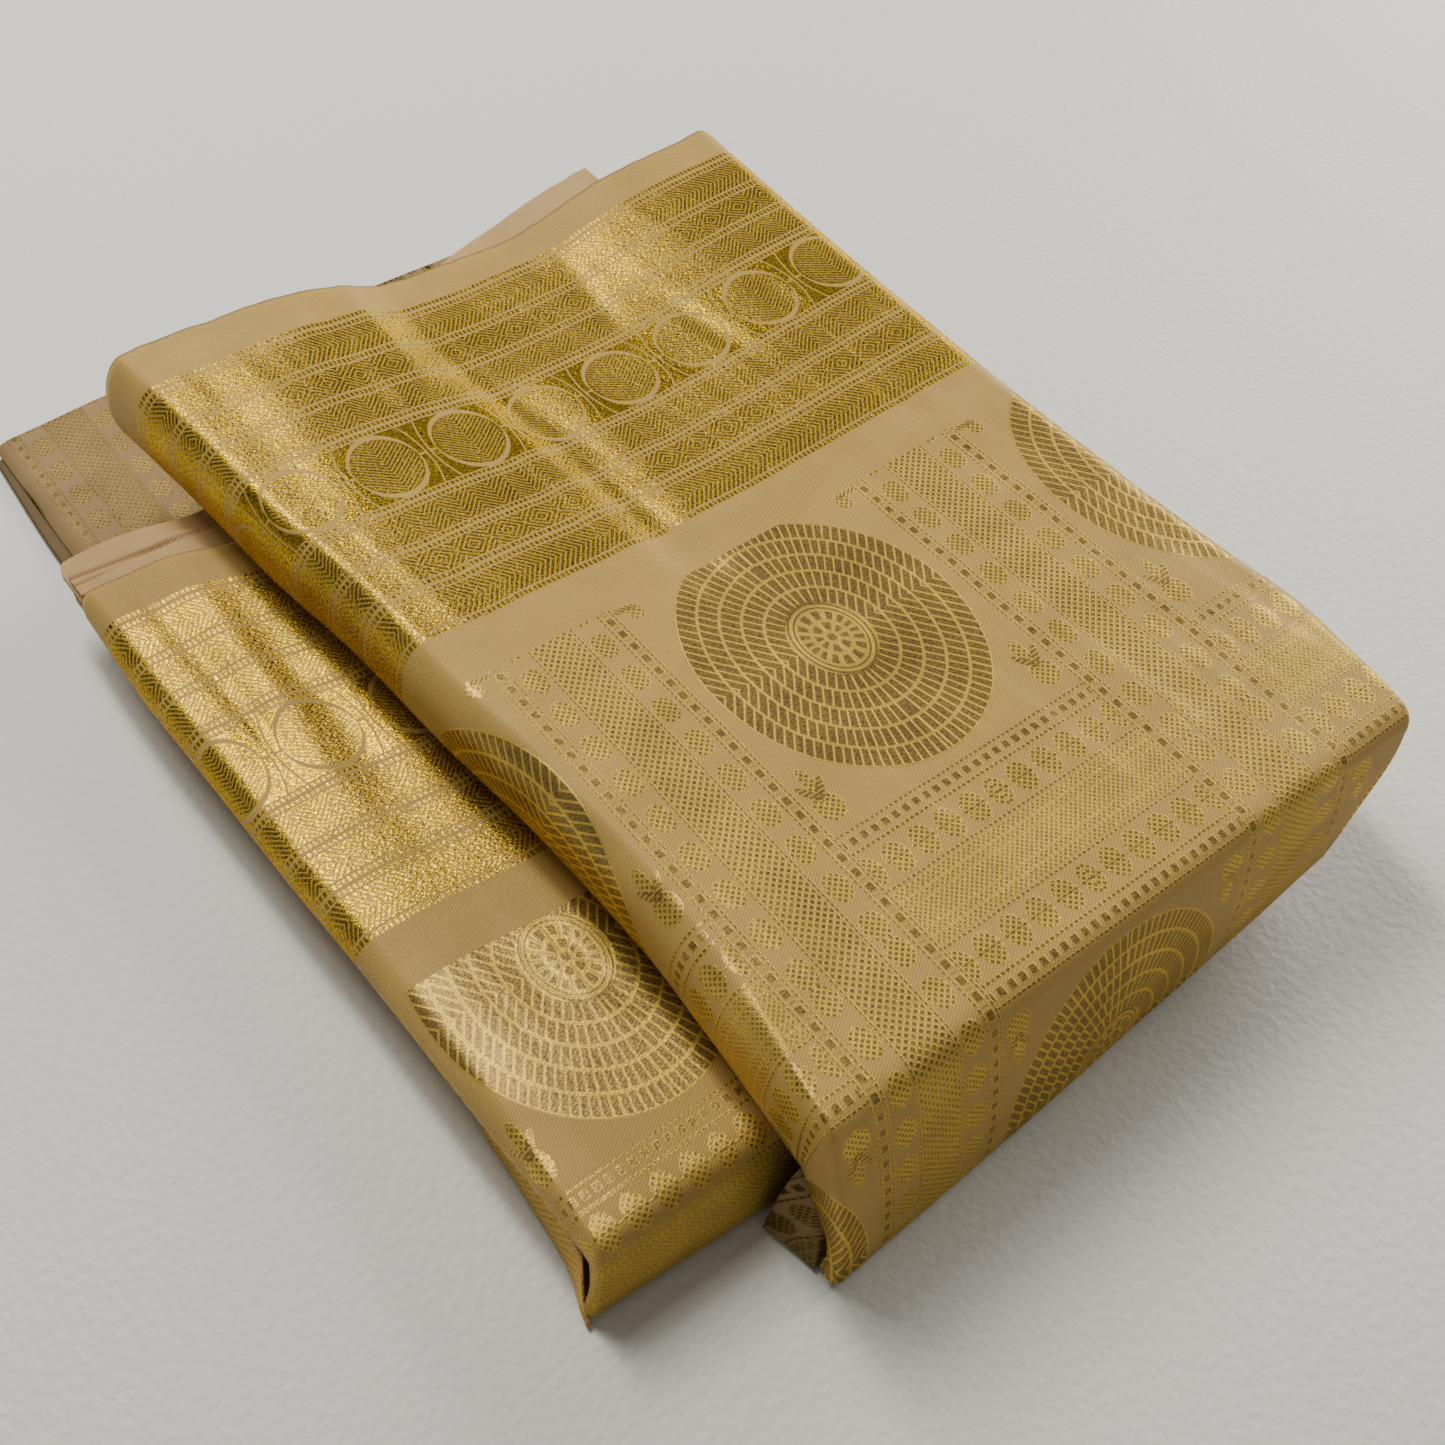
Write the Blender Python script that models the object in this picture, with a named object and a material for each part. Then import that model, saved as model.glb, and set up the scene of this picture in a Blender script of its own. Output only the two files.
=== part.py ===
"""A folded kanchipuram saree: one long silk cloth lying as two folded bundles, the upper askew on the lower.

X runs along the cloth's length, from the left folds to the right ones. Y runs across the cloth, from the
front fold back to the selvage. Z is up from the table. Sizes are in millimetres until a mesh is made.
"""

from dataclasses import dataclass
from typing import Callable

import bpy
import numpy as np

MILLIMETRE = 0.001

# The cloth
WALL = 1.6  # a stretch of cloth with the layers that cling to it
SEAM = 0.4  # clear space between one piece and the next
CORE_INSET = WALL + SEAM

# The upper bundle
UPPER_TOP = 72.2  # height of its top panel
UPPER_SELVAGE = 202.0  # back edge of the panel
UPPER_RIDGE = -184.0  # front ridge, where the cloth turns down
UPPER_THICK = 37.8  # from the top panel to the underside of its side folds
SAG_PLACES = (-30.0, 20.0, 45.0, 62.0, 80.0, 100.0, 130.0, 150.0, 170.0, 195.0, 245.0)
SAG_SHARE = (0.0, 0.0, 0.10, 0.42, 0.86, 1.0, 1.0, 0.84, 0.50, 0.20, 0.04)
SAG_DEPTH_PLACES = (-184.0, -100.0, -50.0, 0.0, 50.0, 100.0, 150.0, 202.0)
SAG_DEPTHS = (0.0, 1.0, 2.4, 4.4, 7.6, 10.8, 13.4, 14.2)

# The lower bundle
LOWER_TOP = 34.0
LOWER_RIDGE = -161.0
LOWER_THICK = 17.0  # its outer cloth turns under the upper half of its layers
BASE_TOP = 15.8  # the layers below that
SKIN_CLEAR = 0.8  # the outer cloth's lowest folds stay this far above the table

# Side edges of each bundle: along the cloth from the selvage, leftmost point, rightmost point
UPPER_EDGES = (
    # run, left, right
    (0.0, -36.5, 245.0),
    (30.0, -33.5, 243.2),
    (60.0, -31.0, 241.2),
    (100.0, -28.5, 239.0),
    (150.0, -22.5, 237.2),
    (200.0, -19.5, 236.4),
    (250.0, -15.0, 236.8),
    (300.0, -13.5, 239.2),
    (330.0, -15.2, 241.5),
    (352.0, -16.5, 238.0),
    (386.0, -18.0, 229.5),
    (402.0, -18.2, 224.0),
    (432.0, -17.6, 209.0),
    (462.0, -20.2, 205.0),
)
LOWER_EDGES = (
    (0.0, -82.0, 170.0),
    (45.0, -83.2, 169.0),
    (90.0, -81.8, 168.0),
    (140.0, -80.5, 167.0),
    (175.0, -78.8, 167.0),
    (245.0, -77.0, 168.0),
    (294.0, -75.6, 168.0),
    (318.0, -78.8, 168.0),
    (330.0, -81.2, 168.0),
)

# How far the side folds round inwards, at each run: they are pressed sharp at the ridge and the front
UPPER_ROLL = ((0.0, 330.0, 375.0, 400.0), (11.0, 11.0, 5.0, 3.0))
LOWER_ROLL = ((0.0, 230.0, 285.0, 310.0), (8.0, 8.0, 3.5, 2.6))

# Steps of the meshes
TOP_STEPS = 12
RIDGE_STEPS = 5
FRONT_STEPS = 3
FOOT_STEPS = 4
ROWS = TOP_STEPS + 1 + RIDGE_STEPS + FRONT_STEPS + FOOT_STEPS
FLAT_STEPS = 9
FOLD_SHARES = np.array((0.0, 0.03, 0.11, 0.24, 0.40, 0.60, 0.76, 0.89, 0.97, 1.0))
TURN = 1 - 2 * FOLD_SHARES  # sine of a side fold's angle at each level, 1 on top and -1 underneath
LAYER_GROOVES = (0.0, 0.0, 3.0, 0.0, 3.5, 0.0, 3.5, 0.0, 2.5, 0.0)

SILK = (0.62, 0.47, 0.31, 1.0)
ZARI = (0.62, 0.44, 0.13, 1.0)


def through(places, sizes):
    """A smooth curve through the given sizes that never overshoots them, as a function of the place."""
    places = np.asarray(places, float)
    sizes = np.asarray(sizes, float)
    rises = np.diff(sizes) / np.diff(places)
    before, after = rises[:-1], rises[1:]
    same_way = before * after > 0
    total = np.where(same_way, before + after, 1.0)
    inner = np.where(same_way, 2 * before * after / total, 0.0)
    slopes = np.concatenate([rises[:1], inner, rises[-1:]])

    def at(value):
        value = np.clip(value, places[0], places[-1])
        cell = np.clip(np.searchsorted(places, value, side="right") - 1, 0, len(places) - 2)
        width = places[cell + 1] - places[cell]
        t = (value - places[cell]) / width
        start = sizes[cell] * (1 + 2 * t) * (1 - t) ** 2 + slopes[cell] * width * t * (1 - t) ** 2
        end = sizes[cell + 1] * t * t * (3 - 2 * t) + slopes[cell + 1] * width * t * t * (t - 1)
        return start + end

    return at


SAG_ACROSS = through(SAG_PLACES, SAG_SHARE)
SAG_ALONG = through(SAG_DEPTH_PLACES, SAG_DEPTHS)
BASE_BACK = through((-85.0, -40.0, 40.0, 170.0), (152.0, 156.0, 150.0, 154.0))


def upper_sag(x, y):
    """How far the top panel sinks in the middle of its back, where no layer holds it up.

    The hollow is narrow at the selvage and widens to the whole panel towards the front.
    """
    wide = np.sin(np.pi * np.clip((x + 20) / 255, 0, 1)) ** 2
    widening = np.clip((190 - y) / 120, 0, 1)
    return SAG_ALONG(y) * ((1 - widening) * SAG_ACROSS(x) + widening * wide)


def lower_sag(x, y):
    """The lower bundle's top is a little lower at its left fold."""
    return 0.6 * np.clip((-60 - x) / 20, 0, 1) + 0 * y


def bend(start, corner, end, steps, rows):
    """Y and Z of a round bend, past its start and up to its end, each point with its own row of values."""
    t = (np.arange(steps) + 1).reshape((-1,) + (1,) * (start[0].ndim - 1)) / steps
    weights = ((1 - t) ** 2, 2 * t * (1 - t), t**2)
    return [sum(w * size[rows] for w, size in zip(weights, sizes)) for sizes in zip(start, corner, end)]


@dataclass
class Bundle:
    """One folded bundle. Its cloth runs from the selvage forward over the top and down the front face."""

    edges: tuple
    top: float
    sag: Callable  # how far the top surface lies below that, as a function of x and y
    selvage: Callable  # y of the back edge, as a function of x
    ridge: float  # y of the front ridge
    foot: Callable  # y of the front face's lower edge
    floor: Callable  # z of the front face's lower edge
    thick: float  # depth of the side folds under the top
    front_thick: float  # depth of the side folds behind the front face
    foot_thick: float
    rolls: tuple  # how far the side folds round inwards, as runs and sizes
    ridge_radius: float
    foot_radius: float
    bulge: float  # of the front face
    inner_radius: float = 1.5

    def __post_init__(self):
        run, left, right = zip(*self.edges)
        self.left = through(run, left)
        self.right = through(run, right)
        self.roll = through(*self.rolls)
        middle = np.full((ROWS, 1), (left[0] + right[0]) / 2)
        y, z = self.path(middle, np.ones((ROWS, 1)), 0.0)
        steps = np.hypot(np.diff(y[:, 0]), np.diff(z[:, 0]))
        self.run = np.concatenate([[0.0], np.cumsum(steps)])

    def surface(self, x, y, side, inset):
        """Z on the top, which is side 1, or under it. The hollow fades towards the underside."""
        return self.top - self.sag(x, y) * (1 + side) / 2 - self.depth(self.thick, side, inset)

    def depth(self, thick, side, inset):
        """How far inside the bundle's outside the cloth of a side fold lies."""
        return thick / 2 - (thick / 2 - inset) * side

    def path(self, x, side, inset):
        """Y and Z along the cloth, one row of x for each station from the selvage to the foot.

        side is 1 on the flat and -1 on the underside of a side fold. The cloth goes along the top, over
        the ridge, down the front and round the foot, and each inset gives a surface parallel to it.
        """
        side = np.broadcast_to(side, x.shape)
        flat = (1 + side) / 2
        inner = (self.inner_radius + inset) * (1 - flat)
        ridge_radius = (self.ridge_radius - inset) * flat + inner
        foot_radius = (self.foot_radius - inset) * flat + inner
        behind = self.depth(self.front_thick, side, inset)
        ridge_y = self.ridge + behind
        ridge_z = self.surface(x, ridge_y, side, inset)
        foot_y = self.foot(x) + behind
        foot_z = self.floor(x) + self.depth(self.foot_thick, side, inset)
        length = np.hypot(foot_y - ridge_y, foot_z - ridge_z)
        down = ((foot_y - ridge_y) / length, (foot_z - ridge_z) / length)

        top_rows = slice(0, TOP_STEPS + 1)
        ridge_rows = slice(top_rows.stop, top_rows.stop + RIDGE_STEPS)
        front_rows = slice(ridge_rows.stop, ridge_rows.stop + FRONT_STEPS)
        foot_rows = slice(front_rows.stop, ROWS)
        into_ridge = ridge_y + ridge_radius
        top_end = (into_ridge, self.surface(x, into_ridge, side, inset))
        front_start = (ridge_y + down[0] * ridge_radius, ridge_z + down[1] * ridge_radius)
        front_end = (foot_y - down[0] * foot_radius, foot_z - down[1] * foot_radius)
        middle = [(a + b) / 2 for a, b in zip(front_start, front_end)]
        foot_end = (foot_y + foot_radius, foot_z)

        share = np.linspace(0, 1, TOP_STEPS + 1).reshape((-1,) + (1,) * (x.ndim - 1))
        back_y = self.selvage(x)
        top_y = back_y[top_rows] + (into_ridge - back_y)[top_rows] * share
        top_z = self.surface(x[top_rows], top_y, side[top_rows], inset)
        over = bend(top_end, (ridge_y, ridge_z), front_start, RIDGE_STEPS, ridge_rows)
        belly = (middle[0] - 2 * self.bulge, middle[1])
        front = bend(front_start, belly, front_end, FRONT_STEPS, front_rows)
        under = bend(front_end, (foot_y, foot_z), foot_end, FOOT_STEPS, foot_rows)
        y = np.concatenate([top_y, over[0], front[0], under[0]])
        z = np.concatenate([top_z, over[1], front[1], under[1]])
        return y, z

    def sides(self, run, side, inset):
        """X of the left and right folds, at each run along the cloth and each sine of the fold's angle."""
        inwards = inset + (self.roll(run) - inset) * (1 - np.sqrt(np.clip(1 - side**2, 0, 1)))
        return self.left(run) + inwards, self.right(run) - inwards

    def sheet(self, inset):
        """The points of the cloth at one inset: left fold, flat, right fold."""
        run = self.run[:, None]
        left, _ = self.sides(run, TURN[None, ::-1], inset)
        _, right = self.sides(run, TURN[None, :], inset)
        share = np.linspace(0, 1, FLAT_STEPS + 1)[None, 1:-1]
        flat = left[:, -1:] + (right[:, :1] - left[:, -1:]) * share
        x = np.concatenate([left, flat, right], axis=1)
        side = np.concatenate([TURN[::-1], np.ones(FLAT_STEPS - 1), TURN])[None]
        y, z = self.path(x, side, inset)
        return np.stack([x, y, z], axis=-1)

    def wall(self):
        """The outer cloth as a thin wall."""
        return np.stack([self.sheet(0.0), self.sheet(WALL)], axis=2)

    def layers(self, recess):
        """The hidden layers inside the outer cloth, one solid with its back edge cut into leaves."""
        back = recess + np.array(LAYER_GROOVES)
        run = np.repeat(self.run[:, None], len(TURN), axis=1)
        run[0] = back
        left, right = self.sides(run, TURN[None, :], CORE_INSET)
        share = np.linspace(0, 1, FLAT_STEPS + 1)[None, :, None]
        x = left[:, None, :] + (right - left)[:, None, :] * share
        side = np.broadcast_to(TURN[None, None, :], x.shape)
        y, z = self.path(x, side, CORE_INSET)
        y[0] = self.selvage(x[0]) - back[None, :]
        z[0] = self.surface(x[0], y[0], side[0], CORE_INSET)
        return np.stack([x, y, z], axis=-1)


def slab(left, right, front, back, low, high, steps, rounding, grooves, grooved="back", lean=0.0):
    """A flat pack of layers with rounded sides and a rounded or grooved back.

    left and right are functions of y, front and back of x, low and high of x and y. steps are the cells
    along Y and X. grooves push the back or the left face in, level by level from the bottom, and lean is
    how far the front's top stands behind its foot, as a size or one for each x.
    """
    grooves = np.array(grooves)
    level = np.linspace(0, 1, len(grooves))
    inwards = rounding * (1 - np.sqrt(np.clip(1 - (2 * level - 1) ** 2, 0, 1)))
    side_in = inwards + (grooves if grooved == "left" else 0)
    back_in = inwards + (grooves if grooved == "back" else 0)
    along = np.linspace(0, 1, steps[0] + 1)[:, None, None]
    across = np.linspace(0, 1, steps[1] + 1)[None, :, None]
    middle = (left(0.0) + right(0.0)) / 2
    rough_y = front(middle) + (back(middle) - front(middle)) * along
    start, end = left(rough_y) + side_in, right(rough_y) - inwards
    x = start + (end - start) * across
    front_y = front(x) + (lean(x) if callable(lean) else lean) * level
    y = front_y + (back(x) - back_in - front_y) * along
    z = low(x, y) + (high(x, y) - low(x, y)) * level
    return np.stack([x, y, z], axis=-1)


def even(value):
    """The same size everywhere."""
    return lambda *place: value + 0 * sum(place)


def strip(front, back, high, thick, left, right, grooves=(0.0, 0.0, 0.0)):
    """A leaf of plain selvage that sticks out behind a bundle."""
    return slab(left, right, front, back, lambda x, y: high(x, y) - thick, high, (3, 10), 0.8, grooves)


def shell(points):
    """The vertices and triangles of a block's six faces, from its grid of points."""
    rows, columns, levels = points.shape[:3]
    number = np.arange(rows * columns * levels).reshape(rows, columns, levels)
    sheets = (
        (number[:, :, 0], False),
        (number[:, :, -1], True),
        (number[:, 0, :], True),
        (number[:, -1, :], False),
        (number[0, :, :], False),
        (number[-1, :, :], True),
    )
    faces = []
    for grid, turned in sheets:
        a, b = grid[:-1, :-1].ravel(), grid[1:, :-1].ravel()
        c, d = grid[1:, 1:].ravel(), grid[:-1, 1:].ravel()
        first, second = np.stack([a, b, c], 1), np.stack([a, c, d], 1)
        both = np.concatenate([first, second])
        faces.append(both[:, ::-1] if turned else both)
    faces = np.concatenate(faces)
    used, faces = np.unique(faces, return_inverse=True)
    vertices = points.reshape(-1, 3)[used]
    faces = faces.reshape(-1, 3)
    corners = vertices[faces]
    volume = np.einsum("ij,ij->i", corners[:, 0], np.cross(corners[:, 1], corners[:, 2])).sum()
    return vertices, faces if volume > 0 else faces[:, ::-1]


def fabric(name, colour, roughness, metallic):
    material = bpy.data.materials.new(name)
    material.use_nodes = True
    principled = material.node_tree.nodes["Principled BSDF"]
    principled.inputs["Base Color"].default_value = colour
    principled.inputs["Roughness"].default_value = roughness
    principled.inputs["Metallic"].default_value = metallic
    material.diffuse_color = colour
    return material


def upper_bundle():
    """The bundle on top, whose front fold hangs to the table and lifts off it at the right."""
    waves = through((-36.0, -20.0, -3.0, 17.0, 46.0, 62.0, 90.0, 140.0, 190.0, 245.0),
                    (3.0, 5.0, 5.5, 3.2, 2.4, 1.0, 0.5, -1.0, 0.0, 0.5))
    return Bundle(
        edges=UPPER_EDGES,
        top=UPPER_TOP,
        sag=upper_sag,
        selvage=lambda x: UPPER_SELVAGE + waves(x),
        ridge=UPPER_RIDGE,
        foot=through((-20.0, 60.0, 150.0, 240.0), (-199.5, -195.0, -189.0, -186.5)),
        floor=through((-20.0, 130.0, 165.0, 200.0, 240.0), (SKIN_CLEAR, SKIN_CLEAR, 4.5, 13.0, 19.5)),
        thick=UPPER_THICK,
        front_thick=7.0,
        foot_thick=6.0,
        rolls=UPPER_ROLL,
        ridge_radius=8.0,
        foot_radius=6.0,
        bulge=2.0,
    )


def lower_bundle():
    """The bundle below, which shows left of the upper one."""
    return Bundle(
        edges=LOWER_EDGES,
        top=LOWER_TOP,
        sag=lower_sag,
        selvage=through((-85.0, -55.0, -15.0, 60.0, 170.0), (144.5, 143.5, 135.0, 138.0, 141.0)),
        ridge=LOWER_RIDGE,
        foot=through((-80.0, 0.0, 170.0), (-165.0, -169.0, -167.0)),
        floor=even(SKIN_CLEAR),
        thick=LOWER_THICK,
        front_thick=5.0,
        foot_thick=4.6,
        rolls=LOWER_ROLL,
        ridge_radius=7.0,
        foot_radius=4.0,
        bulge=1.0,
    )


def front_layers(upper):
    """The layers behind the upper bundle's front face, whose folds show at its left end."""
    behind = upper.front_thick + upper.inner_radius + SEAM
    return slab(
        left=through((-200.0, -185.0, -172.0), (-19.0, -21.0, -24.0)),
        right=even(199.0),
        front=lambda x: upper.foot(x) + behind,
        back=even(-171.8),
        low=lambda x, y: upper.floor(x) + SEAM + 0 * y,
        high=even(34.0),
        steps=(4, 8),
        rounding=0.6,
        grooves=(0.0, 1.5, 0.0, 7.0, 9.0, 11.0, 12.0),
        grooved="left",
        lean=lambda x: upper.ridge - upper.foot(x),
    )


def base_layers():
    """The lower half of the lower bundle's layers, flat on the table and cut into leaves at the back."""
    return slab(
        left=through((-160.0, -120.0, 0.0, 150.0), (-71.8, -71.4, -71.5, -72.5)),
        right=even(171.0),
        front=even(-156.0),
        back=BASE_BACK,
        low=even(0.0),
        high=even(BASE_TOP),
        steps=(12, 8),
        rounding=5.0,
        grooves=(0.0, 0.0, 2.5, 0.0, 2.5, 0.0, 2.5, 0.0, 0.0),
    )


def corner_fold():
    """A fold of the layers below that shows under the lower bundle's left side, next to its front corner."""
    share = np.linspace(0, 1, 13)
    y = -100.0 - 55.5 * share
    x = through((-155.5, -143.0, -120.0, -100.0), (-78.6, -76.0, -74.0, -73.2))(y)
    high = through((0.0, 0.3, 0.8, 1.0), (12.0, 16.3, 15.0, 7.0))(share)
    level = np.linspace(0, 1, 4)
    curved = x[:, None] - 0.6 * np.sin(np.pi * level)[None] + 0.4 * level[None]
    z = SKIN_CLEAR + (high[:, None] - SKIN_CLEAR) * level[None]
    points = np.stack([curved, np.repeat(y[:, None], len(level), 1), z], -1)
    return np.stack([points, points + (WALL, 0.0, 0.0)], axis=2)


def lower_strips(lower):
    """The selvages of the layers under the lower bundle's outer cloth, each lower than the last."""
    edges = (
        through((-85.0, -55.0, -18.0, 60.0, 170.0), (159.0, 159.5, 150.0, 151.0, 156.0)),
        through((-85.0, -65.0, -18.0, 60.0, 170.0), (166.0, 168.5, 162.0, 160.0, 163.0)),
        through((-85.0, -40.0, 60.0, 170.0), (164.5, 166.0, 165.0, 160.0)),
    )
    sizes = (
        # top, thickness, left
        (31.4, 2.2, -82.5),
        (28.8, 2.6, -84.0),
        (25.8, 8.4, -83.0),
    )
    for number, (edge, (top, thick, left)) in enumerate(zip(edges, sizes), start=1):
        grooves = (0.0, 2.0, 0.0, 2.0, 0.0) if thick > 5 else (0.0, 0.0, 0.0)
        front = lambda x: lower.selvage(x) + 2 * SEAM
        points = strip(front, edge, even(top), thick, even(left), even(166.0), grooves)
        yield f"lower_strip_{number}", points, False


def floor_leaves():
    """The two leaves that stick out at the back, flat on the table."""
    against_base = lambda x: BASE_BACK(x) + SEAM
    back = through((-70.0, -20.0, 60.0, 160.0), (264.5, 267.5, 268.0, 266.0))
    ripple = through((-70.0, -45.0, -10.0, 60.0, 160.0), (0.6, 0.0, 0.5, 0.0, 0.4))
    top_leaf = slab(
        left=through((150.0, 190.0, 262.0), (-64.0, -63.5, -66.5)),
        right=even(160.0),
        front=against_base,
        back=back,
        low=lambda x, y: 3.4 + ripple(x) + 0 * y,
        high=lambda x, y: 6.0 + ripple(x) + 0 * y,
        steps=(6, 10),
        rounding=1.0,
        grooves=(0.0, 0.0, 0.0, 0.0),
    )
    under_leaf = slab(
        left=through((150.0, 200.0, 262.0), (-73.5, -73.0, -70.0)),
        right=even(155.0),
        front=against_base,
        back=lambda x: back(x) - 5.0,
        low=even(0.0),
        high=even(3.0),
        steps=(6, 10),
        rounding=1.0,
        grooves=(0.0, 0.0, 0.0),
    )
    yield "floor_leaf", top_leaf, True
    yield "floor_leaf_under", under_leaf, True


def back_strip(upper):
    """The selvage of a layer under the top panel, which sticks out behind it at the right."""
    edge = through((96.0, 112.0, 128.0, 142.0, 158.0, 188.0), (200.0, 206.5, 212.0, 214.8, 215.8, 214.5))
    return strip(
        even(195.2),
        edge,
        lambda x, y: upper.surface(x, y, 1.0, CORE_INSET + SEAM),
        2.0,
        even(98.0),
        even(185.0),
    )


def pieces():
    """Each piece's name, its grid of points and whether its cloth is mostly zari."""
    upper, lower = upper_bundle(), lower_bundle()
    yield "upper_stretch", upper.wall(), True
    yield "upper_layers", upper.layers(7.5), False
    yield "upper_front_layers", front_layers(upper), True
    yield "back_strip", back_strip(upper), False
    yield "lower_stretch", lower.wall(), True
    yield "lower_layers", lower.layers(0.0), False
    yield "lower_base_layers", base_layers(), True
    yield "lower_corner_fold", corner_fold(), True
    yield from lower_strips(lower)
    yield from floor_leaves()


def centred(grids):
    """The grids moved so that the whole stands on the table, centred on the origin."""
    points = np.concatenate([grid.reshape(-1, 3) for grid in grids])
    low, high = points.min(axis=0), points.max(axis=0)
    shift = -np.array([(low[0] + high[0]) / 2, (low[1] + high[1]) / 2, low[2]])
    return [grid + shift for grid in grids]


def main():
    for item in list(bpy.data.objects):
        bpy.data.objects.remove(item)
    silk = fabric("plain silk", SILK, 0.55, 0.0)
    zari = fabric("zari brocade", ZARI, 0.38, 0.7)
    names, grids, gold = zip(*pieces())
    for name, grid, is_zari in zip(names, centred(grids), gold):
        vertices, faces = shell(grid * MILLIMETRE)
        mesh = bpy.data.meshes.new(name)
        mesh.from_pydata(vertices, [], faces)
        mesh.shade_smooth()
        mesh.set_sharp_from_angle(angle=np.radians(45))
        mesh.materials.append(zari if is_zari else silk)
        piece = bpy.data.objects.new(name, mesh)
        bpy.context.scene.collection.objects.link(piece)


main()
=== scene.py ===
"""A folded kanchipuram saree: tan silk with a wide zari border and a field of rosettes and flower rows.

The cloth lies as an upper bundle askew on a lower one, with leaves sticking out at the back. Shapes are
worked out in millimetres in the pile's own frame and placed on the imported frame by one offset. X runs along
the cloth, Y runs across it from the front fold to the selvage, and Z is up.
"""

import logging
import math
from dataclasses import dataclass, field, replace
from enum import Enum
from typing import Callable, Sequence, TypeAlias

import bpy
import numpy as np
from mathutils import Matrix, Vector

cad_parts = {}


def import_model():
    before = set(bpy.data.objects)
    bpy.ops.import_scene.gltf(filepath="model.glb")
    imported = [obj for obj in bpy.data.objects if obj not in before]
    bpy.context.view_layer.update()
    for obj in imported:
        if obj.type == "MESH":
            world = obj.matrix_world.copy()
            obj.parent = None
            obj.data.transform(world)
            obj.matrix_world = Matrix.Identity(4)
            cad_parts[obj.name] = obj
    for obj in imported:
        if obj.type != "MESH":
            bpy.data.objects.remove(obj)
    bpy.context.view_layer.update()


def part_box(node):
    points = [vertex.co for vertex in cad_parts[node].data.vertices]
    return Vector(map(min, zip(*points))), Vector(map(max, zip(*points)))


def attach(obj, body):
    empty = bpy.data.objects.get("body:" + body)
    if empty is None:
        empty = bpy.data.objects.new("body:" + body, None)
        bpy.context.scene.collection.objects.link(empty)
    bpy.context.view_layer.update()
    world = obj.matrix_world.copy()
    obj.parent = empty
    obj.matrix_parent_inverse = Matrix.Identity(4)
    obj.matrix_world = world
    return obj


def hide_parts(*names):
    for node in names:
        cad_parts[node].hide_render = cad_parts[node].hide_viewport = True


Array: TypeAlias = np.ndarray
Curve: TypeAlias = Callable[[Array], Array]
Surface: TypeAlias = Callable[[Array, Array], Array]
Colour: TypeAlias = tuple[float, float, float]
Value: TypeAlias = "Signal | Colour | float"

LOG = logging.getLogger("saree")
MM = 0.001
CHART_MM = 0.963  # real millimetres of cloth for each millimetre of the woven chart
FIELD_SPLIT = 197.0 * CHART_MM * MM  # depth, in metres, where faces change from the border's finish
CLOTH_MAP = "cloth"

SKIN_CLEAR = 0.8  # of the outer cloth over the table
CLOTH_THICK = 0.9  # the outer cloth with the ply that clings to it
CORE_INSET = 2.0  # of the hidden layers inside the outer cloth
SEAM = 0.4
BASE_RIGHT = 171.0
BASE_FRONT = -156.0
BASE_TOP = 15.8


def through(places: Sequence[float], sizes: Sequence[float]) -> Curve:
    """A smooth curve through sizes at places.

    Each stretch between two places is a cubic whose end slopes are the harmonic mean of the slopes on either
    side, or level where they disagree, so that the curve never overshoots its sizes.

    Args:
        places: increasing places.
        sizes: the size at each place.

    Returns:
        A function from places to sizes, level past both ends.
    """
    x = np.asarray(places, float)
    y = np.asarray(sizes, float)
    rises = np.diff(y) / np.diff(x)
    before, after = rises[:-1], rises[1:]
    same_way = before * after > 0
    both = np.where(same_way, before + after, 1.0)
    inner = np.where(same_way, 2 * before * after / both, 0.0)
    slopes = np.concatenate([rises[:1], inner, rises[-1:]])

    def at(value: Array) -> Array:
        """The size at each place.

        Args:
            value: the places.

        Returns:
            The sizes.
        """
        value = np.clip(value, x[0], x[-1])
        cell = np.clip(np.searchsorted(x, value, side="right") - 1, 0, len(x) - 2)
        width = x[cell + 1] - x[cell]
        t = (value - x[cell]) / width
        start = y[cell] * (1 + 2 * t) * (1 - t) ** 2 + slopes[cell] * width * t * (1 - t) ** 2
        end = y[cell + 1] * t * t * (3 - 2 * t) + slopes[cell + 1] * width * t * t * (t - 1)
        return start + end

    return at


def even(value: float) -> Callable[..., Array]:
    """The same size everywhere."""
    return lambda *place: value + 0 * sum(place)


def ramp(value: Array, start: float, length: float) -> Array:
    """From 0 at the start to 1 a length past it."""
    return np.clip((value - start) / length, 0, 1)


def drawn_in(level: Array) -> Array:
    """How far a half round edge of radius 1 is drawn in, at a level from -1 to 1."""
    return 1 - np.sqrt(np.clip(1 - level**2, 0, 1))


def ripples(place: Array, seed: int, longest: float, count: int = 5) -> Array:
    """An uneven wave, between about -1 and 1.

    It is a sum of sines, each one's wavelength 0.62 of the last one's and its height 0.7 of it, with phases
    from a seeded generator.

    Args:
        place: where the wave is read, in millimetres.
        seed: the generator's seed.
        longest: the longest wavelength, in millimetres.
        count: how many sines are added.

    Returns:
        The wave at each place.
    """
    phases = np.random.default_rng(seed).uniform(0, 2 * np.pi, count)
    heights = 0.7 ** np.arange(count)
    lengths = longest * 0.62 ** np.arange(count)
    waves = (h * np.sin(2 * np.pi * place / n + p) for h, n, p in zip(heights, lengths, phases))
    return sum(waves) / heights.sum()


def uneven(curve: Curve, shift: float, height: float = 0.0, seed: int = 0, longest: float = 60.0) -> Curve:
    """A curve plus a shift and an uneven wave of some height."""
    return lambda place: curve(place) + shift + height * ripples(place, seed, longest)


def path_length(first: Array, second: Array, axis: int) -> Array:
    """The length of each line of a grid from its start, from the two coordinates that change along it."""
    steps = np.hypot(np.diff(first, axis=axis), np.diff(second, axis=axis))
    return np.insert(np.cumsum(steps, axis=axis), 0, 0.0, axis=axis)


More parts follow.
